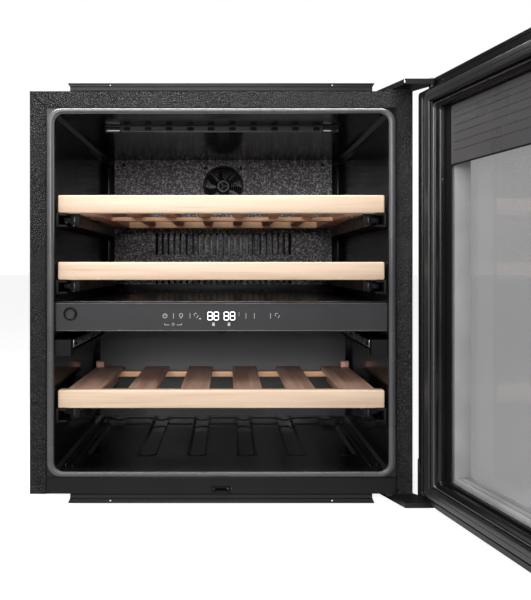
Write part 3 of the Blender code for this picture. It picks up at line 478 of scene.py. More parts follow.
def dulled(tree, shader, value, roughness, least, most):
    """Lets the roughness drift with a value, from least to most times itself."""
    sheen = spread(tree, value, roughness * least, roughness * most)
    tree.links.new(sheen, shader.inputs["Roughness"])


def moulded(name, color, roughness, grain_size=0.0006, depth=0.00004, shift=0.15, shine=0.5):
    """Moulded plastic: a fine eroded grain, and a slow change of sheen."""
    finish, tree, shader = shader_of(name, color, roughness, 0.0, shine)
    relief(tree, shader, grain(tree, grain_size, 2), depth)
    slow = grain(tree, 0.06, 2)
    shaded(tree, shader, slow, color, 1 - shift, 1 + shift)
    dulled(tree, shader, slow, roughness, 0.88, 1.12)
    return finish


def pebbled(name, color, roughness, pebble, depth, mottle_and_glint_lift, shine=0.5):
    """Textured powder coat: rounded pebbles, and lighter specks in the colour on a noise of their
    own, painted highlight standing in for glints of light off the pebbles (on the hammered cover
    also its own mottle).
    """
    finish, tree, shader = shader_of(name, color, roughness, 0.0, shine)
    place = tree.nodes.new("ShaderNodeTexCoord")
    cells = tree.nodes.new("ShaderNodeTexVoronoi")
    cells.feature = "SMOOTH_F1"
    cells.inputs["Scale"].default_value = 1 / pebble
    cells.inputs["Smoothness"].default_value = 0.6
    tree.links.new(place.outputs["Object"], cells.inputs["Vector"])
    heights = spread(tree, cells.outputs["Distance"], 1, 0, 0.1, 0.7)
    both = tree.nodes.new("ShaderNodeMath")
    both.operation = "MULTIPLY_ADD"
    tree.links.new(grain(tree, pebble / 2, 3), both.inputs[0])
    both.inputs[1].default_value = 0.5
    tree.links.new(heights, both.inputs[2])
    relief(tree, shader, both.outputs[0], depth)
    # Painted highlight: the lighter specks stand in for glints of light off the pebbles.
    mottle_and_glint_specks = grain(tree, pebble * 1.5, 2)
    stops = (0.40, tinted(color, 0.5)), (0.53, color), (0.66, tinted(color, mottle_and_glint_lift))
    tree.links.new(ramp(tree, mottle_and_glint_specks, *stops), shader.inputs["Base Color"])
    dulled(tree, shader, grain(tree, 0.05, 2), roughness, 0.9, 1.1)
    return finish


def polished(name, color, roughness, wave=0.00012, shine=0.5):
    """Vacuum-formed gloss plastic: a long soft ripple and faint dust-dulled patches."""
    finish, tree, shader = shader_of(name, color, roughness, 0.0, shine)
    relief(tree, shader, grain(tree, 0.035, 1), wave, 0.6)
    slow = grain(tree, 0.09, 3)
    shaded(tree, shader, slow, color, 0.85, 1.15)
    dulled(tree, shader, slow, roughness, 0.75, 1.3)
    return finish


def metal(name, color, roughness, stretch, line=0.0008, depth=0.00002):
    """Rolled or drawn metal, its fine lines along the axis that is stretched least."""
    finish, tree, shader = shader_of(name, color, roughness, 1.0)
    lines = grain(tree, line, 3, stretch)
    relief(tree, shader, lines, depth)
    shaded(tree, shader, lines, color, 0.82, 1.1)
    dulled(tree, shader, grain(tree, 0.03, 3), roughness, 0.8, 1.25)
    return finish


def timber(name, light, dark, stretch, roughness=0.42):
    """Varnished beech: long streaks, short dark flecks and fine pores along the grain."""
    finish, tree, shader = shader_of(name, light, roughness)
    streaks = grain(tree, 0.012, 5, stretch)
    middle = tuple((a + b) / 2 for a, b in zip(light, dark))
    body = ramp(tree, streaks, (0.28, dark), (0.46, middle), (0.66, light))
    fleck_stretch = tuple(s if s < 1 else s * 2.2 for s in stretch)
    fleck = grain(tree, 0.006, 2, fleck_stretch)
    flecks = ramp(tree, fleck, (0.62, (1, 1, 1)), (0.74, (0.72, 0.62, 0.55)))
    mix = tree.nodes.new("ShaderNodeMix")
    mix.data_type = "RGBA"
    mix.blend_type = "MULTIPLY"
    mix.inputs["Factor"].default_value = 0.55
    tree.links.new(body, mix.inputs["A"])
    tree.links.new(flecks, mix.inputs["B"])
    tree.links.new(mix.outputs["Result"], shader.inputs["Base Color"])
    relief(tree, shader, grain(tree, 0.0016, 2, stretch), 0.00006)
    dulled(tree, shader, streaks, roughness, 0.85, 1.15)
    return finish


def pane(name, color, alpha, roughness=0.03):
    """Glass: a thin body tint under a clear polish, with a faint haze."""
    finish, tree, shader = shader_of(name, color, roughness)
    shader.inputs["Alpha"].default_value = alpha
    shader.inputs["IOR"].default_value = 1.5
    haze = grain(tree, 0.12, 2)
    dulled(tree, shader, haze, roughness, 0.7, 1.6)
    shaded(tree, shader, haze, color, 0.92, 1.08)
    return finish


def glowing(name, color, strength):
    """A lit print."""
    finish, tree, shader = shader_of(name, color, 0.3)
    shader.inputs["Emission Color"].default_value = (*color, 1)
    shader.inputs["Emission Strength"].default_value = strength
    shaded(tree, shader, grain(tree, 0.0006, 1), color, 0.9, 1.0)
    return finish


ALONG_X, ALONG_Y, ALONG_DEPTH = (0.05, 1, 1), (1, 0.05, 1), (1, 0.04, 1)
GREY_BLACK = (0.0055, 0.0055, 0.0058)
DEEP_BLACK = (0.0045, 0.0045, 0.0048)
DARK_GREY = (0.010, 0.010, 0.011)
RUBBER_BLACK = (0.012, 0.012, 0.013)

# The case's specks, nine times its black, are painted glints of light.
CASE = pebbled("pebbled_black_coat", DEEP_BLACK, 0.28, 0.0012, 0.0022, 9.0, 0.20)
COVER = pebbled("hammered_grey_coat", (0.305, 0.296, 0.313), 0.34, 0.0019, 0.0024, 2.8)
SILL = moulded("smooth_black_coat", (0.0045,) * 3, 0.36, 0.0009, 0.00002, 0.1, 0.18)
LINER = polished("vacuum_formed_black", (0.0035, 0.0035, 0.0036), 0.16, shine=0.28)
# A light copy of the black liner plastic: its colour paints the highlights along lips, beads and
# rounded edges.
HIGHLIT_EDGE = polished("formed_edge_painted_highlight", (0.058, 0.056, 0.059), 0.26, 0.00004, 0.38)
SHINY = polished("piano_black", DARK_GREY, 0.10, 0.00003)
FASCIA = moulded("satin_dark_grey", (0.020, 0.019, 0.021), 0.42, 0.0005, 0.00001, 0.08, 0.25)
FRAME = moulded("satin_black_moulding", DEEP_BLACK, 0.24, 0.0004, 0.00001, 0.10, 0.32)
SATIN = moulded("satin_back_panel", (0.110, 0.106, 0.113), 0.42, 0.0005, 0.00001, 0.08)
BLACK = moulded("fine_grain_black_plastic", DEEP_BLACK, 0.50, shine=0.12)
# Painted highlight: the guard is coloured dark grey, lighter than the black behind it, standing in
# for the highlights along its rings.
GUARD = moulded("guard_painted_ring_highlight", (0.040, 0.040, 0.042), 0.35)
GREY = moulded("grey_glass_filled_plastic", (0.090, 0.090, 0.092), 0.48)
STEEL = metal("bright_rolled_steel", (0.60, 0.59, 0.58), 0.26, ALONG_DEPTH)
SHADED_STEEL = metal("shaded_steel", (0.09,) * 3, 0.30, ALONG_DEPTH)
ZINC = metal("zinc_coated_sheet", (0.42, 0.43, 0.44), 0.42, (1, 1, 0.25), 0.004, 0.00003)
# Painted shade: the aluminium fins behind the cover's slots are coloured near black, so the slots
# read dark.
FINS_IN_SHADE = moulded("fin_stock_painted_shade", (0.0055, 0.0058, 0.0062), 0.6, shine=0.1)
SLIDE = metal("drawn_slide_steel", (0.24,) * 3, 0.38, ALONG_DEPTH)
COATED = moulded("black_coated_steel", GREY_BLACK, 0.32, 0.0008, 0.00003, shine=0.28)
POT = moulded("compressor_enamel", RUBBER_BLACK, 0.30, 0.0025, 0.00008)
FOAM = moulded("cream_rigid_foam", (0.70, 0.60, 0.36), 0.9, 0.0015, 0.00040)
SEAL = moulded("black_soft_rubber", RUBBER_BLACK, 0.34, 0.0010, 0.00002)
RUBBER = moulded("black_grommet_rubber", (0.014, 0.014, 0.015), 0.55, 0.0010, 0.00003)
# The slat and cross-rail copies of beech are redder than the front rail's: painted copper light of
# the shelves' undersides on top of the wood's own tone.
BEECH_X = timber("beech_along_the_rail", (0.62, 0.47, 0.35), (0.50, 0.35, 0.24), ALONG_X)
BEECH_Y = timber("beech_along_the_slat_painted_copper_light", (0.86, 0.55, 0.42), (0.46, 0.23, 0.16), ALONG_Y, 0.5)
BEECH_T = timber("beech_cross_rail_painted_copper_light", (0.92, 0.56, 0.33), (0.74, 0.40, 0.22), ALONG_X, 0.5)
CLEAR = pane("clear_glass", (0.30, 0.30, 0.31), 0.07)
SMOKED = pane("smoked_glass", (0.020, 0.019, 0.020), 0.72)
PRINT = moulded("black_glass_print", (0.004, 0.004, 0.0042), 0.55, 0.002, 0.00001, shine=0.1)
BLIND = moulded("grey_glass_print", (0.060, 0.058, 0.060), 0.30, 0.002, 0.00001, 0.06)
SPACER = moulded("bright_spacer_bar", (0.36, 0.36, 0.365), 0.35)
DOTS = moulded("dark_print_dots", (0.010,) * 3, 0.4, 0.002, 0.00001)
LENS = polished("dark_lamp_lens", (0.0015,) * 3, 0.5, 0.00001, 0.1)
LIT = glowing("lit_segment", (0.95, 0.97, 1.0), 0.55)
MARK = glowing("white_print", (0.45, 0.45, 0.46), 0.06)
WINDOW = polished("display_window", (0.020, 0.020, 0.022), 0.12, 0.00001)

SLOT_FINISH = {
    "textured_black_paint": CASE,
    "smooth_black_sill": SILL,
    "gloss_black_liner": LINER,
    "satin_black_frame": FRAME,
    "satin_grey_fascia": FASCIA,
    "hammered_grey_cover": COVER,
    "matte_black_plastic": BLACK,
    "grey_plastic": GREY,
    "black_painted_steel": COATED,
    "bright_steel": SLIDE,
    "zinc_coated_sheet": ZINC,
    "compressor_black": POT,
    "painted_fins": GREY,
    "aluminium_fins": FINS_IN_SHADE,
    "beech": BEECH_X,
    "beech_shaded": BEECH_Y,
    "foam": FOAM,
    "black_rubber": SEAL,
    "smoked_glass": SMOKED,
    "clear_glass": CLEAR,
}


def finish_frame_parts():
    """Each carried-over part takes the finish of its slot."""
    for part in frame["record"]["subparts"]:
        mesh = nodes[part["node"]].data
        mesh.materials.clear()
        mesh.materials.append(SLOT_FINISH[part["material_slot"]])


# ---- screws ----
def dome_screw(radius, height, axis="Y", way=-1):
    """A raised screw head with a recess, standing off its seat along an axis."""
    shares = (0, 0), (1, 0), (0.96, 0.35), (0.7, 0.8), (0.42, 1), (0.36, 0.55), (0, 0.5)
    mesh = lathe_mesh([(radius * r, height * h) for r, h in shares], 16)
    return turned(mesh, along(way * axis_of(axis)))


# ---- cabinet front ----
def liner_lip():
    """The rolled edge round the mouth of the liner."""
    low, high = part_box("inner_liner")
    profile = mm((0.4, 0), (0.6, -0.9), (2.4, -1.9), (4.8, -2.4), (7.2, -1.9), (9.0, -0.6))
    profile += mm((9.9, 1.4), (9.9, 2.2), (6.0, 0.6), (3.0, 0.2))

    def outline(inset):
        x0, x1 = low.x + inset, high.x - inset
        z0, z1 = low.z + inset * 0.72, high.z - inset * 0.74
        return rounded(x0, x1, z0, z1, 0.020 - inset * 0.6, 8)

    ring = object_of("liner_lip", ring_mesh(profile, outline, FRONT + 0.0004))
    # The lip's light colour is a painted highlight.
    fit(ring, "cabinet", HIGHLIT_EDGE)


def front_welt():
    """A dark welt where the case's front face meets the liner and the sill."""
    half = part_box("front_sill")[1].x
    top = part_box("inner_liner")[1].z
    wide, back, proud = half + 0.0013, FRONT + 0.0004, FRONT - 0.0004
    welts = [board_mesh((-wide, proud, top), (wide, back, top + 0.0013), 0.0001)]
    welts += boards_both(half, wide, (proud, 0.0008), (back, top), 0.0001)
    build("front_welt", welts, "cabinet", PRINT)


def across_front(node, inset, y0, y1, z0, z1, edge, segments=2):
    """A bar as wide as a node, but for an inset at each end."""
    low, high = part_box(node)
    z0, z1 = sorted((z0, z1))
    return board_mesh((low.x + inset, y0, z0), (high.x - inset, y1, z1), edge, segments)


def sill_fold():
    """The folded upper edge of the bottom rail."""
    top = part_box("front_sill")[1].z
    y0, y1 = FRONT - 0.0006, FRONT + 0.0010
    bead = across_front("front_sill", 0.001, y0, y1, top - 0.0016, top - 0.0002, 0.0005)
    build("sill_fold", [bead], "cabinet", SILL)


def strip_hems():
    """The hemmed free edges of the two fixing strips."""
    hems = []
    for name, way in STRIPS:
        low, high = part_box(name)
        edge = high.z if way > 0 else low.z
        hem = FRONT - 0.0014, FRONT + 0.0006, edge, edge - way * 0.0022
        hems.append(across_front(name, 0.0008, *hem, 0.0006))
    build("strip_hems", hems, "cabinet", COATED)


def steel_screws(name, radius, height, spots, axis="Y", way=-1, finish=STEEL, body="cabinet"):
    fit(on_spots(name, dome_screw(radius, height, axis, way), finish, spots), body)


def hinge_screws():
    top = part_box("top_hinge_plate")[1].z - 0.0002
    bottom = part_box("bottom_hinge_plate")[0].z + 0.0002
    seats = (0.2455, FRONT + 0.012), (0.2480, FRONT + 0.036)
    for name, z, way in (("top_hinge_screws", top, 1), ("bottom_hinge_screws", bottom, -1)):
        steel_screws(name, 0.0045, 0.0024, [(*seat, z) for seat in seats], "Z", way)
    pin = mm((0, 0), (4.4, 0), (4.4, 1.0), (3.4, 1.8), (0, 2.0))
    cap = lathe_mesh(pin, 20, centre=(PIVOT.x, PIVOT.y, top))
    build("hinge_pin_cap", [cap], "cabinet", STEEL)
    steel_screws("hinge_adjuster", 0.0026, 0.0003, [(0.2520, PIVOT.y - 0.0055, top - 0.0033)])


# ---- inside the cabinet ----
def lamp_lenses():
    low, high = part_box("light_bar")
    step, ends_at = 0.0321, 0.024
    loops = []
    for half, rise, y in (
        (0.0054, 0.0027, 0.0006),
        (0.0054, 0.0027, -0.0002),
        (0.0044, 0.0018, -0.0007),
    ):
        loops.append([(x, y, z) for x, z in rounded(-half, half, -rise, rise, rise * 0.999, 5)])
    start = (-4.5 * step, low.y, low.z + 0.0046)
    lenses = in_rows("lamp_lenses", loft_mesh(loops, whole=False), LENS, start, (step, 0, 0), 10)
    fit(lenses, "cabinet")
    y0, y1, z0, z1 = low.y - 0.0008, low.y + 0.0022, low.z - 0.0004, low.z + 0.0010
    edge = across_front("light_bar", ends_at, y0, y1, z0, z1, 0.0004)
    # The edge's light colour is a painted highlight.
    build("lamp_lower_edge", [edge], "cabinet", HIGHLIT_EDGE)
    corners = (low.y - 0.001, low.z - 0.0012), (high.y - 0.002, high.z - 0.001)
    ends = boards_both(high.x - ends_at, high.x + 0.001, *corners, 0.0016, 3)
    build("lamp_end_caps", ends, "cabinet", SHINY)


def cover_trim():
    """The screws of the evaporator cover and its lower skirt."""
    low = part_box("evaporator_cover")[0]
    face = low.y - 0.0001
    seats = (-0.200, 0.5234), (0.200, 0.5234), (-0.202, 0.2744), (0.2006, 0.2784), (0, 0.2774)
    washer = lathe_mesh(mm((0, 0.2), (3.2, 0.2), (3.2, -0.4), (0, -0.6)), 16, "Y")
    washers = on_spots("cover_washers", washer, PRINT, [(x, face, z) for x, z in seats])
    fit(washers, "cabinet")
    heads = [(x, face - 0.0004, z) for x, z in seats]
    steel_screws("cover_screws", 0.0018, 0.0012, heads, finish=SHADED_STEEL)
    reach = 0.0357
    corners = [(x, face, FAN_CENTRE.z + reach) for x in (-reach, reach)]
    fan_screws = on_spots("fan_screws", dome_screw(0.0034, 0.0018), POT, corners)
    fit(fan_screws, "cabinet")
    y0, y1 = low.y - 0.0009, low.y + 0.001
    skirt = across_front("evaporator_cover", 0.001, y0, y1, low.z + 0.0004, 0.2835, 0.0005)
    build("cover_skirt", [skirt], "cabinet", FASCIA)


def cover_slot_rims():
    """A pressed rim round each air slot, and round the fan's throat."""
    pitch, rows_apart, columns = 0.01215, 0.058, 23

    def slot(inset):
        return rounded(
            -0.0034 + inset, 0.0034 - inset, -0.0006 + inset, 0.0450 - inset, 0.0032 - inset, 3
        )

    rim = ring_mesh(mm((0, 0), (0.3, -0.5), (0.8, 0.3)), slot)
    start = (-(columns // 2) * pitch, COVER_FACE, 0.2844)
    step, rise = (pitch, 0, 0), (0, 0, rows_apart)
    fit(
        in_rows("slot_rims", rim, COVER, start, step, columns, rise, 2),
        "cabinet",
    )
    throat = mm((0, 0), (0.6, -0.9), (2.0, -1.2), (2.7, 0.6))
    mouth = ring_mesh(throat, circle(0.0408, 0, FAN_CENTRE.z), COVER_FACE)
    build("fan_throat", [mouth], "cabinet", FASCIA)


def blade_mesh(hub, reach, depth, sweep=0.55, pitch=38):
    """One curved and twisted fan blade, standing along X from the hub."""
    rows, across, half_thick = 7, 5, 0.0004
    loops = []
    for side in (1, -1):
        for i in range(across + 1) if side > 0 else range(across, -1, -1):
            loops.append([])
            for k in range(rows + 1):
                share = k / rows
                radius = hub * 0.9 + (reach - hub * 0.9) * share
                chord = depth * (1.0 + 0.7 * share)
                u = (i / across - 0.5) * chord
                tilt = math.radians(pitch - 8 * share)
                camber = 0.10 * chord * (1 - (2 * i / across - 1) ** 2)
                swing = sweep * share * share * 0.5 + u * math.cos(tilt) / radius
                height = u * math.sin(tilt) + camber + side * half_thick
                loops[-1].append((radius * math.cos(swing), radius * math.sin(swing), height))
    bm = bmesh.new()
    rings = [[bm.verts.new(p) for p in loop] for loop in loops]
    for a in range(len(rings)):
        one, two = rings[a], rings[(a + 1) % len(rings)]
        for k in range(rows):
            bm.faces.new((one[k], one[k + 1], two[k + 1], two[k]))
    for end in (0, rows):
        bm.faces.new([ring[end] for ring in rings])
    bmesh.ops.recalc_face_normals(bm, faces=bm.faces)
    return smooth(mesh_of(bm), 50)


def fan(name, body, radius, hub, axis):
    """A rotor of swept blades on a domed hub."""
    node = f"{body}_rotor"
    low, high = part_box(node)
    centre = Vector(JOINT_OF[body]["pos_m"])
    depth = (high - low)["XYZ".index(axis)] * 0.9
    blades = ring_of_copies(blade_mesh(hub, radius - 0.0018, depth * 0.95), BLACK, 7)
    top = depth * 0.5
    profile = [(0, -top), (hub * 0.94, -top), (hub, -top * 0.85), (hub, top * 0.8)]
    profile += [(hub * 0.9, top), (hub * 0.5, top), (0, top)]
    place = Matrix.Translation(centre) @ along(axis_of(axis))
    meshes = [turned(mesh, place) for mesh in (blades, lathe_mesh(profile, 28))]
    build(name, meshes, body, BLACK, [node])
    return centre.y - depth / 2


def fans():
    face = fan("cold_fan_rotor", "evaporator_fan", 0.0385, 0.013, "Y")
    disc = lathe_mesh(mm((0, 0), (11.8, 0), (11.8, 0.4), (9.6, 0.6), (0, 0.6)), 28)
    blade = board_mesh((0.0008, -0.0007, 0), (0.0070, 0.0007, 0.0004), 0.0001, 1)
    star = ring_of_copies(blade, GREY, 3)
    core = lathe_mesh(mm((0, 0), (8.8, 0), (8.8, 0.4), (0, 0.6)), 28)
    for name, mesh, proud, finish in (
        ("fan_hub_disc", disc, 0, GREY),
        ("hub_star", star, 0.0011, GREY),
        ("fan_hub_core", core, 0.0005, BLACK),
    ):
        seat = facing_front((0, face - proud, FAN_CENTRE.z))
        build(name, [turned(mesh, seat)], "evaporator_fan", finish)
    fan("bay_fan_rotor", "condenser_fan", 0.056, 0.018, "X")


def fan_guard():
    """The moulded guard of thin rings and arms in front of the cold fan."""
    section = mm((0, 0.4), (0.7, -0.3), (1.4, 0.4), (0.7, 1.1))
    pieces = []
    for radius in (0.0165, 0.0208, 0.0251, 0.0294, 0.0337, 0.0378):
        outline = circle(radius + 0.0007, 0, FAN_CENTRE.z)
        pieces.append(ring_mesh(section, outline, COVER_FACE))
    arm = board_mesh((0.0150, -0.0006, -0.0002), (0.0384, 0.0006, 0.0009), 0.0002, 1)
    seat = facing_front((0, COVER_FACE + 0.0006, FAN_CENTRE.z))
    pieces.append(turned(ring_of_copies(arm, BLACK, 8), seat))
    # The guard's grey is a painted highlight of its rings.
    build("fan_guard", pieces, "cabinet", GUARD)


def mitre_shadows():
    """The dark joint line behind each mitre of the case's front face."""
    half, top = CABINET[1].x, CABINET[1].z
    inner, outer, half_width = 0.0232, 0.0006, 0.00065
    pieces = []
    for side in SIDES:
        a = Vector((side * (half - inner), top - inner))
        b = Vector((side * (half - outer), top - outer))
        across = Vector((-side, 1)).normalized() * half_width
        outline = [tuple(p) for p in (a - across, b - across, b + across, a + across)]
        pieces.append(plate_mesh(outline, FRONT - 0.0001, FRONT + 0.0012))
    build("mitre_shadows", pieces, "cabinet", PRINT)


def strip_eyelets():
    """A rolled rim in each screw hole of the fixing strips."""
    section = mm((0, -0.8), (0.6, -1.2), (1.5, -0.9), (1.5, 0.4), (0.6, 0.4))
    holes = [(x, z) for z in (0.57345, -0.0092) for x in (-0.1555, 0.1555)]
    pieces = [ring_mesh(section, circle(0.0027, x, z, 24), FRONT) for x, z in holes]
    build("strip_eyelets", pieces, "cabinet", COATED)


def floor_ribs():
    """Stepped beads along both sides of the lower floor."""
    pieces = []
    for side in SIDES:
        for step in range(2):
            x, top = 0.2245 - 0.0095 * step, 0.0362 - 0.0030 * step
            corners = (FRONT + 0.030, top - 0.0100), (LOWER_BACK + 0.0005, top)
            pieces.append(board_on(side, x - 0.0022, x + 0.0022, *corners, 0.0018, 3))
    build("floor_side_ribs", pieces, "cabinet", LINER)


def lower_back_panel():
    """The satin panel that closes the back of the lower compartment."""
    y = LOWER_BACK + 0.0015
    panel = plate_mesh(rounded(-0.2275, 0.2275, 0.0425, 0.2262, 0.008, 5), y, y + 0.0009)
    build("lower_back_panel", [panel], "cabinet", SATIN)


def corner_posts():
    """The covers over the joints between the evaporator cover and the side walls."""
    low, high, back = 0.2712, 0.5270, FRONT + 0.4945
    posts, edges = [], []
    for side in SIDES:
        posts.append(board_on(side, 0.2196, 0.2334, (back, low), (back + 0.0010, high), 0.0004))
        for x in (0.2200, 0.2300):
            corners = (back - 0.0007, low), (back + 0.0005, high)
            edges.append(board_on(side, x, x + 0.0011, *corners, 0.0004))
    build("corner_posts", posts, "cabinet", BLACK)
    # The post edges are coloured light: painted highlight of the rounded corners.
    build("corner_post_edges", edges, "cabinet", HIGHLIT_EDGE)


def trough_places():
    return [(k - (TROUGHS - 1) / 2) * TROUGH_PITCH for k in range(TROUGHS)]


def floor_rear_bead():
    """The scalloped edge where the bottle troughs run up to the back."""
    half, points, dip, reach = 0.2255, 120, 0.0040, 0.021
    path = []
    for i in range(points + 1):
        x = -half + 2 * half * i / points
        nearest = min(abs(x - place) for place in trough_places())
        share = 0.5 + 0.5 * math.cos(math.pi * min(1.0, nearest / reach))
        path.append((x, LOWER_BACK, 0.0372 - dip * share))
    bead = wire(path, 0.0010)
    # The bead's light colour is a painted highlight.
    build("floor_rear_bead", [bead], "cabinet", HIGHLIT_EDGE)


def door_beads():
    """Two rolled beads round the inner face of the door, coloured light to paint the highlight
    lines along them.
    """
    for name, start, wide, rise in (
        ("door_inner_bead", 0.0500, 0.0022, 0.0030),
        ("door_outer_bead", 0.0282, 0.0009, 0.0010),
    ):
        shares = (0, 0.6), (0.3, 1), (0.7, 1), (1, 0.6)
        profile = [(start, 0.0002)]
        profile += [(start + wide * a, -rise * b) for a, b in shares]
        profile += [(start + wide, 0.0002)]
        build(name, [door_ring(profile, door_outline)], "door", HIGHLIT_EDGE)


def strip_lines():
    """The folds of the fixing strips: a dark root and a dark bend, painted shade of the creases."""
    roots, bends = [], []
    for name, way in STRIPS:
        low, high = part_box(name)
        root = low.z if way > 0 else high.z
        bend = root + way * 0.0056
        y0, y1, z0, z1 = FRONT - 0.0002, FRONT + 0.0010, root - way * 0.0002, root + way * 0.0012
        roots.append(across_front(name, 0.004, y0, y1, z0, z1, 0.0002))
        y0, y1, z0, z1 = FRONT - 0.0013, FRONT - 0.0004, bend, bend + way * 0.0011
        bends.append(across_front(name, 0.003, y0, y1, z0, z1, 0.0002))
    build("strip_folds", roots + bends, "cabinet", PRINT)


def trough_lips():
    """The raised rim between the bottle troughs of the lower floor."""
    half, length, steps, height = 0.0150, 0.016, 12, 0.0318
    pieces = []
    for x in trough_places():
        path = [(x - half, LOWER_BACK, height)]
        for k in range(steps + 1):
            angle = math.pi + math.pi * k / steps
            y = FRONT + 0.0905 + length + length * math.sin(angle)
            path.append((x + half * math.cos(angle), y, height))
        pieces.append(wire([*path, (x + half, LOWER_BACK, height)], 0.0009))
    build("trough_lips", pieces, "cabinet", LINER)


# ---- control panel ----
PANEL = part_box("control_fascia")
PANEL_FACE = PANEL[0].y
FIGURES_Z = 0.2492


def panel_lips():
    low, high = PANEL
    y0, y1 = low.y - 0.0006, low.y + 0.0008
    lips = []
    for z0, z1 in ((high.z - 0.0014, high.z + 0.0002), (low.z - 0.0002, low.z + 0.0012)):
        lips.append(across_front("control_fascia", 0.0005, y0, y1, z0, z1, 0.0005, 3))
    # The lips' light colour is a painted highlight.
    build("panel_lips", lips, "cabinet", HIGHLIT_EDGE)
    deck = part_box("divider")
    y0, y1, z0, z1 = low.y + 0.0006, deck[0].y + 0.004, high.z + 0.0006, deck[1].z + 0.0002
    nose = across_front("divider", 0.0005, y0, y1, z0, z1, 0.0009, 3)
    build("divider_nose", [nose], "cabinet", SHINY)


def button_ring():
    low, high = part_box("panel_button")
    centre = (low + high) / 2
    radius = (high.x - low.x) / 2
    outline = circle(radius + 0.0014, centre.x, centre.z, 40)
    ring = ring_mesh(mm((-1.4, 0), (-0.6, -0.5), (0.4, -0.3), (0.6, 1.2)), outline, PANEL_FACE)
    build("button_surround", [ring], "cabinet", BLACK)
    profile = [(0, 0), (radius, 0), (radius, 0.0030), (radius - 0.0008, 0.0038)]
    cap = lathe_mesh([*profile, (radius * 0.6, 0.0034), (0, 0.0033)], 40)
    seat = facing_front((centre.x, low.y + 0.0036, centre.z))
    build("button_cap", [turned(cap, seat)], "button", SILL)


def bar_between(a, b, width, front=PANEL_FACE, thick=0.0003):
    """A flat bar with pointed ends between two (x, z) points."""
    a, b = Vector(a), Vector(b)
    along_bar = (b - a).normalized()
    across = Vector((-along_bar.y, along_bar.x)) * width / 2
    shoulder, tip = along_bar * width * 0.62, along_bar * width * 0.12
    inner_a, inner_b = a + shoulder, b - shoulder
    outline = [a + tip, inner_a - across, inner_b - across]
    outline += [b - tip, inner_b + across, inner_a + across]
    return plate_mesh([tuple(p) for p in outline], front - thick, front)


SEGMENTS = (
    ((-1, 2), (1, 2)),
    ((-1, 0), (1, 0)),
    ((-1, -2), (1, -2)),
    ((-1, 0), (-1, 2)),
    ((1, 0), (1, 2)),
    ((-1, -2), (-1, 0)),
    ((1, -2), (1, 0)),
)


def displays():
    """Two windows with two seven-bar figures each."""
    centres = (-0.0115, 0.0115)
    half_window, half_figure, rise = (0.0094, 0.0070), 0.0032, 0.0028
    windows = []
    for x in centres:
        sides = x - half_window[0], x + half_window[0]
        ends = FIGURES_Z - half_window[1], FIGURES_Z + half_window[1]
        outline = rounded(*sides, *ends, 0.0008, 3)
        windows.append(plate_mesh(outline, PANEL_FACE - 0.0002, PANEL_FACE + 0.0004))
    build("display_windows", windows, "cabinet", WINDOW)
    bars = []
    for x in (centre + shift for centre in centres for shift in (-0.0044, 0.0044)):
        for ends in SEGMENTS:
            a, b = [(x + u * half_figure, FIGURES_Z + v * rise) for u, v in ends]
            bars.append(bar_between(a, b, 0.0013, PANEL_FACE - 0.0002))
    build("display_figures", bars, "cabinet", LIT)


def hoop(x, z, radius, width, start=0.0, share=1.0):
    """A printed circle, or part of one."""
    steps = max(6, int(20 * share))
    inner, outer = radius - width / 2, radius + width / 2
    pieces = []
    for i in range(steps):
        a, b = (start + 2 * math.pi * share * k / steps for k in (i, i + 1))
        corners = (inner, a), (outer, a), (outer, b), (inner, b)
        outline = [(x + r * math.cos(t), z + r * math.sin(t)) for r, t in corners]
        pieces.append(plate_mesh(outline, PANEL_FACE - 0.0002, PANEL_FACE))
    return pieces


def symbols():
    """Plain function marks: power, lamp, ticks, crescents and two small locks."""
    z = FIGURES_Z + 0.0002
    low = z - 0.0118

    def bar(x0, z0, x1, z1, width, base=z):
        return bar_between((x0, base + z0), (x1, base + z1), width)

    marks = hoop(-0.0795, z, 0.0029, 0.0007, 2.0, 0.86)
    marks.append(bar(-0.0795, 0, -0.0795, 0.0040, 0.0008))
    marks += hoop(-0.0569, z + 0.0008, 0.0024, 0.0006)
    marks.append(bar(-0.0585, -0.0030, -0.0553, -0.0030, 0.0008))
    marks += hoop(-0.0365, z + 0.0016, 0.0020, 0.0006, 0.6, 0.6)
    marks.append(bar(-0.0350, -0.0036, -0.0322, 0.0012, 0.0007))
    marks.append(bar(-0.0318, -0.0040, -0.0282, -0.0040, 0.0020))
    for x in (-0.0675, -0.0442, 0.0349, 0.0467, 0.0696):
        marks.append(bar(x, -0.0040, x, 0.0040, 0.0006))
    marks += hoop(0.0780, z + 0.0016, 0.0020, 0.0006, 0.6, 0.6)
    marks.append(bar(0.0800, -0.0036, 0.0828, 0.0012, 0.0007))
    marks.append(bar(0.0244, 0.0034, 0.0256, 0.0048, 0.0011))
    marks.append(bar(0.0244, 0.0002, 0.0256, 0.0016, 0.0009))
    for x in (-0.0110, 0.0109):
        marks += hoop(x, low + 0.0012, 0.0012, 0.0006, 0, 0.5)
        body = rounded(x - 0.0017, x + 0.0017, low - 0.0024, low + 0.0012, 0.0005, 2)
        marks.append(plate_mesh(body, PANEL_FACE - 0.0002, PANEL_FACE))
    marks.append(bar(-0.0800, 0.0014, -0.0800, -0.0014, 0.0006, low))
    marks.append(bar(-0.0800, -0.0010, -0.0730, -0.0010, 0.0006, low))
    marks.append(bar(-0.0630, -0.0010, -0.0560, -0.0010, 0.0006, low))
    marks.append(bar(-0.0560, 0.0014, -0.0560, -0.0014, 0.0006, low))
    marks += hoop(-0.0680, low - 0.0002, 0.0016, 0.0005)
    build("panel_symbols", marks, "cabinet", MARK)


def sensor_cap():
    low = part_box("divider")[0]
    profile = mm((0, 0), (6.6, 0), (6.8, -1.2), (5.6, -3.0), (3.0, -4.2), (0, -4.4))
    cap = lathe_mesh(profile, 24, centre=(0, low.y + 0.004, low.z - 0.0001))
    build("sensor_cap", [cap], "cabinet", BLACK)


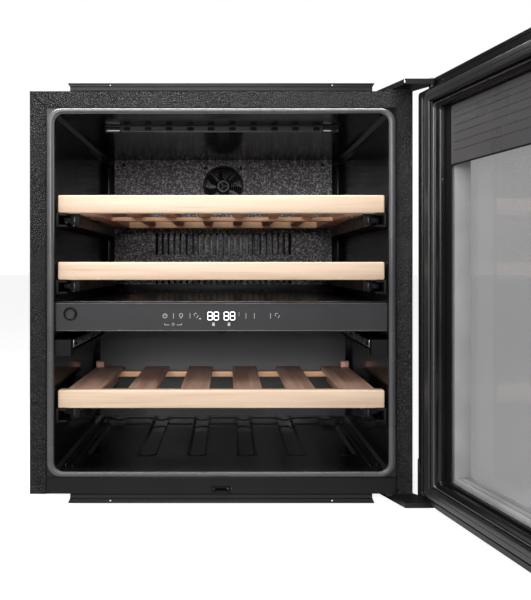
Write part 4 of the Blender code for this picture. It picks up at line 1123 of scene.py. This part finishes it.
# ---- shelves ----
SIDE_RAIL = (0.181, 0.212)
CROSS_HALF = 0.182


def cross_rail(y, z0, z1):
    return board_mesh((-CROSS_HALF, y, z0), (CROSS_HALF, y + 0.020, z1), 0.0010)


def slats_of(name, body, copies, pitch, width, start, length, z0, z1, edge):
    """Slats side by side across a shelf."""
    slat = board_mesh((-width / 2, 0, z0), (width / 2, length, z1), edge, 3)
    first = (-(copies - 1) / 2 * pitch, start, 0)
    fit(in_rows(name, slat, BEECH_Y, first, (pitch, 0, 0), copies), body)


def upper_shelf_frame(number):
    """Two side rails, two cross rails and six battens."""
    node, body = f"shelf_{number}_frame", f"shelf_{number}"
    low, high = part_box(node)
    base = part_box(f"{body}_front_rail")[0].z
    boards = boards_both(*SIDE_RAIL, (low.y, base), (high.y, base + 0.0195), 0.0015, 3)
    build(f"{body}_side_rails", boards, body, BEECH_Y, [node])
    rails = [
        cross_rail(FRONT + 0.184, base - 0.001, base + 0.0055),
        cross_rail(high.y - 0.0205, base - 0.001, base + 0.0140),
    ]
    build(f"{body}_cross_rails", rails, body, BEECH_T)
    size = low.y, high.y - low.y, base + 0.0036, base + 0.0186, 0.0018
    slats_of(f"{body}_battens", body, 6, 0.0554, 0.017, *size)


def lower_shelf_frame():
    """Two side rails, two cross rails, four flat slats and an end slat at each side."""
    low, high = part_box("shelf_3_frame")
    start, end = low.y, high.y
    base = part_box("shelf_3_front_rail")[0].z
    slat_low, slat_top = base + 0.0195, base + 0.0255
    seat = slat_low + 0.0002
    boards = boards_both(*SIDE_RAIL, (start, base), (end - 0.007, seat), 0.0012, 3)
    build("shelf_3_side_rails", boards, "shelf_3", BEECH_Y, ["shelf_3_frame"])
    rails = [cross_rail(y, base + 0.0105, seat) for y in (start + 0.0005, end - 0.0275)]
    build("shelf_3_cross_rails", rails, "shelf_3", BEECH_T)
    size = start, end - start, slat_low, slat_top, 0.0016
    slats_of("shelf_3_slats", "shelf_3", 4, 0.0764, 0.042, *size)
    ends = []
    for side in SIDES:
        ends.append(board_on(side, 0.172, 0.221, (start, slat_low), (end, slat_top), 0.0016, 3))
        stop = (end - 0.0145, slat_top - 0.0003), (end - 0.0005, slat_top + 0.010)
        ends.append(board_on(side, 0.2065, 0.2205, *stop, 0.0012, 3))
    build("shelf_3_end_slats", ends, "shelf_3", BEECH_Y)


def front_rail_board(number):
    """The rail along a shelf's front, with eased edges."""
    body = f"shelf_{number}"
    board = board_mesh(*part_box(f"{body}_front_rail"), 0.0022, 4)
    build(f"{body}_front_board", [board], body, BEECH_X, [f"{body}_front_rail"])


def bearing_balls(number):
    """The two rows of balls in each cage."""
    radius, step = 0.0012, 0.012
    arc = [math.pi * i / 6 for i in range(1, 6)]
    bands = [(radius * math.sin(a), -radius * math.cos(a)) for a in arc]
    for where, side in (("left", -1), ("right", 1)):
        low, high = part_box(f"shelf_{number}_{where}_cage")
        ball = lathe_mesh([(0, -radius), *bands, (0, radius)], 8)
        half = (high.z - low.z) / 2 - 0.0002
        x = (low.x + high.x) / 2 - side * 0.0008
        start = (x, low.y + step, (low.z + high.z) / 2 - half)
        copies = int((high.y - low.y) / step) - 1
        name, rise = f"shelf_{number}_{where}_balls", (0, 0, 2 * half)
        balls = in_rows(name, ball, STEEL, start, (0, step, 0), copies, rise, 2)
        fit(balls, f"shelf_{number}_cages")


def rail_hooks(number):
    """The latch hook, the end cap and the screw under each end of a shelf's front rail."""
    body = f"shelf_{number}"
    hooks, heads, caps = [], [], []
    for where, side in (("left", -1), ("right", 1)):
        low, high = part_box(f"{body}_{where}_slide")
        y, z = low.y, (low.z + high.z) / 2
        corners = (y - 0.006, z - 0.0050), (y + 0.030, z + 0.0040)
        hooks.append(board_on(side, 0.2105, 0.2120, *corners, 0.0005))
        corners = (y - 0.0040, z - 0.0076), (y - 0.0004, z + 0.0096)
        caps.append(board_on(side, 0.2036, 0.2177, *corners, 0.0008))
        corners = (y - 0.0034, z - 0.0034), (y - 0.0004, z + 0.0034)
        caps.append(board_on(side, 0.2170, 0.2268, *corners, 0.0006))
        heads.append((side * 0.1990, y + 0.060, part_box(f"{body}_front_rail")[0].z + 0.0002))
    build(f"{body}_hooks", hooks, body, SHADED_STEEL)
    build(f"{body}_slide_caps", caps, body, BLACK)
    steel_screws(f"{body}_screws", 0.0032, 0.0016, heads, "Z", -1, body=body)


def runner_fronts():
    """The black end blocks of the runners and the bright rail of the unused pair."""
    ends, clips = [], []
    for number in (1, 2, 3):
        for where, side in (("left", -1), ("right", 1)):
            low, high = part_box(f"shelf_{number}_{where}_runner")
            corners = (low.y - 0.001, low.z - 0.0015), (low.y + 0.026, high.z + 0.0015)
            ends.append(board_on(side, 0.2299, 0.2340, *corners, 0.0012, 3))
            clips.append((side * 0.2326, low.y + 0.105, (low.z + high.z) / 2 + 0.014))
    build("runner_ends", ends, "cabinet", BLACK)
    clip = board_mesh((-0.0012, -0.008, -0.003), (0.0012, 0.008, 0.003), 0.0008)
    fit(on_spots("runner_clips", clip, STEEL, clips), "cabinet")
    rails, slots = [], []
    for where, side in (("left", -1), ("right", 1)):
        low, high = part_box(f"spare_runner_{where}")
        y0, y1 = low.y + 0.0205, high.y - 0.012
        rails.append(board_on(side, 0.2118, 0.2126, (y0, 0.2030), (y1, 0.2136), 0.0003))
        rails.append(board_on(side, 0.2118, 0.2178, (y0, 0.2132), (y1, 0.2139), 0.0003))
        corners = (low.y + 0.026, 0.2055), (low.y + 0.040, 0.2095)
        slots.append(board_on(side, 0.2108, 0.2120, *corners, 0.0004))
    build("spare_rails", rails, "cabinet", STEEL)
    build("spare_rail_slots", slots, "cabinet", PRINT)


# ---- door, drawn closed and turned to where the open one is ----
def opened(mesh):
    return turned(mesh, TO_OPEN)


def door_y(depth):
    return DOOR_FACE - depth


def door_ring(profile, outline):
    return opened(ring_mesh(profile, outline, DOOR_FACE, -1))


def narrowing(low, high, width, rise, drop, radius, steps):
    """A door frame's outline: over its width it rises at the foot and drops at the head."""

    def outline(inset):
        side = HALF_DOOR - inset
        bottom, top = low + inset * (rise / width), high - inset * (drop / width)
        return rounded(-side, side, bottom, top, radius, steps)

    return outline


door_outline = narrowing(0.0015, 0.5575, 0.062, 0.0345, 0.0305, 0.0045, 5)
outer_outline = narrowing(-0.0152, 0.5798, 0.0515, 0.0412, 0.0428, 0.0035, 4)


def door_frames():
    profile = mm((0, 22.2), (0, 1.2), (1.2, 0), (11.2, 0), (11.9, 1.0), (12.2, 2.8), (13.4, 2.8))
    profile += mm((13.7, 1.0), (14.4, 0), (18.0, 0), (18.6, 1.0), (19.2, 0), (49.0, 0))
    profile += mm((49.8, -1.2), (51.2, -1.6), (52.6, -1.2), (53.4, 0), (60.0, 0.6), (61.2, 1.6))
    profile += mm((62.0, 3.6), (62.0, 9.9), (52.5, 9.9), (52.5, 22.2))
    inner = [door_ring(profile, door_outline)]
    build("door_inner_moulding", inner, "door", FRAME, ["door_inner_frame"])
    profile = mm((0, 37.9), (0, 24.0), (1.2, 22.8), (6.0, 22.8), (6.6, 23.6), (7.2, 22.8))
    profile += mm((51.5, 22.8), (51.5, 37.9))
    outer = [door_ring(profile, outer_outline)]
    build("door_outer_moulding", outer, "door", FRAME, ["door_outer_frame"])


def door_seal():
    """The magnetic seal: a flat crown on a folded bellows."""
    half, low, high = HALF_DOOR - 0.034, 0.0138, 0.5508

    def outline(inset):
        side, radius = half - inset, max(0.0102 - inset, 0.0012)
        return rounded(-side, side, low + inset, high - inset, radius, 6)

    profile = mm((3.0, -0.3), (1.6, -0.8), (0.2, -2.0), (1.2, -3.2), (0.3, -4.4), (0.2, -6.6))
    profile += mm((1.0, -7.5), (2.4, -7.75), (6.8, -7.6), (7.2, -7.1), (7.6, -7.6), (11.8, -7.75))
    profile += mm((13.2, -7.4), (13.8, -6.2), (13.6, -4.4), (12.6, -3.2), (13.7, -2.0))
    profile += mm((12.4, -0.8), (11.0, -0.3))
    seal = [door_ring(profile, outline)]
    build("door_seal", seal, "door", SEAL, ["door_gasket"])


def glass_print():
    """The black border and the grey dotted band on the glass."""
    side, low, high = 0.2364, 0.0345, 0.5290
    band_side, band_top, band_low = 0.2212, 0.5252, 0.4490
    thick = GLASS_BACK + 0.00012

    def border(inset):
        z0, z1 = low + inset * 0.30, high - inset * 0.26
        return rounded(-side + inset, side - inset, z0, z1, 0.001, 2)

    profile = [(0, GLASS_BACK), (0.0150, GLASS_BACK), (0.0150, thick), (0, thick)]
    build("glass_border", [door_ring(profile, border)], "door", PRINT)
    outline = rounded(-band_side, band_side, band_low, band_top, 0.0015, 3)
    blind = plate_mesh(outline, door_y(GLASS_BACK + 0.00014), door_y(GLASS_BACK))
    build("glass_blind", [opened(blind)], "door", BLIND)
    corners = (-band_side, door_y(0.01024), 0.4480), (band_side, door_y(0.0092), 0.4500)
    ledge = board_mesh(*corners, 0.0004)
    build("blind_edge", [opened(ledge)], "door", PRINT)
    dot_outline = rounded(-0.0017, 0.0017, -0.0006, 0.0006, 0.0003, 2)
    pitch, dots = 0.0062, 70
    for index, z in enumerate((0.5159, 0.5084, 0.4984, 0.4884, 0.4774, 0.4669)):
        dot = plate_mesh(dot_outline, -0.00003, 0.00005)
        start = (-0.2150, door_y(GLASS_BACK - 0.00004), z)
        row = in_rows(f"blind_dots_{index}", dot, DOTS, start, (pitch, 0, 0), dots)
        opened(row.data)
        fit(row, "door")


def spacer_bars():
    """The perforated metal spacer between the panes."""
    side, low, high = 0.2205, 0.0395, 0.5250
    y0, y1 = door_y(0.0370), door_y(0.0150)
    pieces = [
        board_mesh((-side, y0, low), (side, y1, low + 0.0075), 0.0004),
        board_mesh((-side, y0, high - 0.0050), (side, y1, high), 0.0004),
    ]
    pieces += boards_both(side, side + 0.008, (y0, low), (y1, high), 0.0004)
    build("glass_spacer", [opened(m) for m in pieces], "door", SPACER)
    hole = board_mesh((-0.0008, -0.0008, -0.0003), (0.0008, 0.0008, 0.0003), 0.0002, 1)
    pitch, rows_apart = 0.004, 0.010
    start = (-side + pitch, door_y(0.019), low + 0.0075)
    step, rise = (pitch, 0, 0), (0, -rows_apart, 0)
    row = in_rows("spacer_holes", hole, DOTS, start, step, 109, rise, 2)
    opened(row.data)
    fit(row, "door")


def corner_cap():
    """The moulded cap at the lower hinge corner of the door."""
    foot, height, proud = 0.0020, 0.052, HALF_DOOR + 0.0006
    loops = []
    for share in (0.0, 0.15, 0.4, 0.7, 0.9, 1.0):
        x = HALF_DOOR - (0.0105 * math.cos(share * math.pi / 2) + 0.0008)
        corners = (proud, 0.0200), (proud, -0.0004), (x, -0.0006), (x, 0.0010)
        loops.append([(u, door_y(depth), foot + height * share) for u, depth in corners])
    cap = opened(loft_mesh(loops, whole=False))
    build("door_corner_cap", [cap], "door", SHINY)


def ground_pane(name, node, edge):
    """A pane as the frame gives it, its edges ground."""
    copy = nodes[node].data.copy()
    bm = bmesh.new()
    bm.from_mesh(copy)
    bmesh.ops.remove_doubles(bm, verts=bm.verts, dist=1e-6)
    bmesh.ops.dissolve_limit(bm, angle_limit=0.01, verts=bm.verts, edges=bm.edges)
    bm.to_mesh(copy)
    bm.free()
    piece = object_of(name, copy)
    bevel = piece.modifiers.new("Edge", "BEVEL")
    bevel.width = edge
    bevel.segments = 2
    return settled(piece)


def glass_panes():
    """A clear inner pane, and an outer one with its smoked coat on the outward face."""
    inner = ground_pane("inner_pane", "door_inner_glass", 0.0005)
    fit(inner, "door", CLEAR, ["door_inner_glass"])
    outer = ground_pane("outer_pane", "door_outer_glass", 0.0007)
    outer.data.materials.clear()
    outer.data.materials.append(CLEAR)
    outer.data.materials.append(SMOKED)
    outward = TO_OPEN.to_3x3() @ Vector((0, -1, 0))
    for face in outer.data.polygons:
        face.material_index = int(face.normal.dot(outward) > 0.9)
    fit(outer, "door", None, ["door_outer_glass"])


# ---- back and base ----
def rear_details():
    low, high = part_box("rear_panel")
    margin = 0.008
    spots = []
    for z in (0.030, 0.200, 0.380, 0.550):
        spots += [(x, high.y, z) for x in (low.x + margin, high.x - margin)]
    spots += [(x, high.y, high.z - margin) for x in (-0.15, 0, 0.15)]
    steel_screws("rear_screws", 0.0042, 0.0022, spots, "Y", 1)

    def louvre(inset):
        return rounded(-0.0042 + inset, 0.0042 - inset, -0.0012 + inset, 0.0562 - inset, 0.0012, 2)

    rim = ring_mesh(mm((0, 0), (0.4, 1.2), (1.0, 0.9), (1.2, -0.2)), louvre)
    pitch, louvres, rise = 0.020, 20, (0, 0, 0.075)
    start = (-(louvres - 1) / 2 * pitch, high.y, 0.030)
    rims = in_rows("louvre_rims", rim, ZINC, start, (pitch, 0, 0), louvres, rise, 2)
    fit(rims, "cabinet")
    rib = board_mesh((-0.004, -0.0004, 0.215), (0.004, 0.0012, 0.520), 0.0011, 3)
    ribs = in_rows("stiffening_ribs", rib, ZINC, (-0.18, high.y, 0), (0.12, 0, 0), 4)
    fit(ribs, "cabinet")


def gland_collar():
    low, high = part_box("cord_gland")
    centre = (low + high) / 2
    profile = mm((0, 0), (13.6, 0), (13.8, 1.2), (13.0, 2.4), (10.0, 3.0), (9.2, 5.2), (7.6, 5.8))
    collar = lathe_mesh([*profile, *mm((6.8, 5.0), (0, 4.6))], 32)
    seat = facing_front((centre.x, high.y - 0.0040, centre.z), -1)
    collars = [turned(collar, seat)]
    build("gland_collar", collars, "cabinet", RUBBER, ["cord_gland"])


def feet():
    """The adjustable feet, knurled round the rim."""
    profile = mm((0, -0.4), (4.0, -0.4), (4.0, -8.5), (6.2, -9.2), (11.0, -10.4), (14.4, -12.2))
    profile += mm((15.0, -13.4), (15.0, -16.8), (14.0, -18.0), (0, -18.0))
    for where in ("front_left", "front_right", "rear_left", "rear_right"):
        low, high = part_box(f"foot_{where}")
        rib = board_mesh((0.0142, -0.0009, -0.0170), (0.0154, 0.0009, -0.0130), 0.0004, 1)
        place = Matrix.Translation(((low.x + high.x) / 2, (low.y + high.y) / 2, 0))
        pieces = [lathe_mesh(profile, 36), ring_of_copies(rib, BLACK, 24)]
        pieces = [turned(mesh, place) for mesh in pieces]
        name, stands_for = f"levelling_foot_{where}", [f"foot_{where}"]
        build(name, pieces, "cabinet", BLACK, stands_for)


def compressor_pot():
    """The compressor: a pressed pot and lid with a welded seam, on its feet."""
    low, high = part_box("compressor")
    x, y = (low.x + high.x) / 2, (low.y + high.y) / 2
    profile = mm((0, 14), (44, 14), (54, 22), (56, 36), (56, 92), (57.8, 92.5), (57.8, 96.5))
    profile += mm((56, 97), (55.5, 128), (50, 146), (36, 157), (18, 161.5), (0, 162))
    pot = lathe_mesh(profile, 48, centre=(x, y, 0))
    corners = (low.x, low.y + 0.012, 0.015), (high.x, high.y - 0.012, 0.0195)
    foot = board_mesh(*corners, 0.0018, 3)
    stub = lathe_mesh(mm((0, 100), (3.5, 100), (3.5, 175), (0, 175)), 16, centre=(x - 0.030, y, 0))
    profile = mm((0, 1.6), (8.8, 1.6), (9.2, 4), (7.0, 8), (9.0, 12), (8.8, 21.5), (0, 21.5))
    spots = [(x + u * 0.066, y + v * 0.0336, 0) for u in SIDES for v in SIDES]
    grommets = [lathe_mesh(profile, 20, centre=spot) for spot in spots]
    pieces = [pot, foot, stub, *grommets]
    build("compressor_pot", pieces, "cabinet", POT, ["compressor"])


# ---- studio ----
def seen_level(tree, unseen, seen):
    """One level where the camera looks, another where light falls."""
    path = tree.nodes.new("ShaderNodeLightPath")
    level = tree.nodes.new("ShaderNodeMapRange")
    level.inputs["To Min"].default_value = unseen
    level.inputs["To Max"].default_value = seen
    tree.links.new(path.outputs["Is Camera Ray"], level.inputs["Value"])
    return level.outputs["Result"]


def pale_floor():
    bm = bmesh.new()
    bmesh.ops.create_grid(bm, x_segments=1, y_segments=1, size=30)
    height = min(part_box("foot_front_left")[0].z, -0.018)
    bmesh.ops.translate(bm, vec=(0, 0, height), verts=bm.verts)
    floor = object_of("studio_floor", mesh_of(bm))
    pale, tree, shader = shader_of("pale_floor", (0.90, 0.90, 0.90), 0.9, shine=0.0)
    shader.inputs["Emission Color"].default_value = (1, 1, 1, 1)
    tree.links.new(seen_level(tree, 0.0, 0.88), shader.inputs["Emission Strength"])
    floor.data.materials.append(pale)


def world():
    studio = bpy.data.worlds.new("studio")
    bpy.context.scene.world = studio
    studio.use_nodes = True
    tree = studio.node_tree
    back = tree.nodes["Background"]
    back.inputs["Color"].default_value = (1, 1, 1, 1)
    tree.links.new(seen_level(tree, 0.05, 1.0), back.inputs["Strength"])


def lights():
    for name, place, aim, size, power in (
        ("front", (-0.23, -2.2, 0.68), (0, 0, 0.28), (1.3, 0.5), 25.5),
        ("high", (-0.35, -1.7, 1.55), (0, 0, 0.35), (1.2, 0.6), 9.5),
        ("left", (-1.5, -1.5, 1.0), (0.1, -0.3, 0.3), (0.4, 1.4), 6),
        ("rim", (-0.05, -0.335, 0.76), (-0.05, -0.2625, 0.50), (0.75, 0.04), 6),
    ):
        light = bpy.data.lights.new(name, "AREA")
        light.shape = "RECTANGLE"
        light.size, light.size_y = size
        light.energy = power
        lamp = object_of(name, light)
        lamp.location = place
        lamp.rotation_euler = (Vector(aim) - Vector(place)).to_track_quat("-Z", "Y").to_euler()


def camera():
    view = bpy.data.cameras.new("camera")
    view.lens = 46.2
    view.sensor_width = 36
    view.shift_x = 0.0625
    view.shift_y = -0.055
    eye = object_of("camera", view)
    eye.location = (0.0095, FRONT - 1.080, 0.3184)
    eye.rotation_euler = (math.pi / 2, 0, 0)
    bpy.context.scene.camera = eye


camera()
finish_frame_parts()
liner_lip()
front_welt()
sill_fold()
strip_hems()
hinge_screws()
lamp_lenses()
cover_trim()
cover_slot_rims()
fans()
fan_guard()
mitre_shadows()
strip_eyelets()
floor_ribs()
lower_back_panel()
floor_rear_bead()
corner_posts()
door_beads()
strip_lines()
trough_lips()
panel_lips()
button_ring()
displays()
symbols()
sensor_cap()
for shelf_number in (1, 2, 3):
    if shelf_number < 3:
        upper_shelf_frame(shelf_number)
    else:
        lower_shelf_frame()
    front_rail_board(shelf_number)
    bearing_balls(shelf_number)
    rail_hooks(shelf_number)
runner_fronts()
door_frames()
door_seal()
glass_panes()
glass_print()
spacer_bars()
corner_cap()
rear_details()
gland_collar()
feet()
compressor_pot()
pale_floor()
world()
lights()
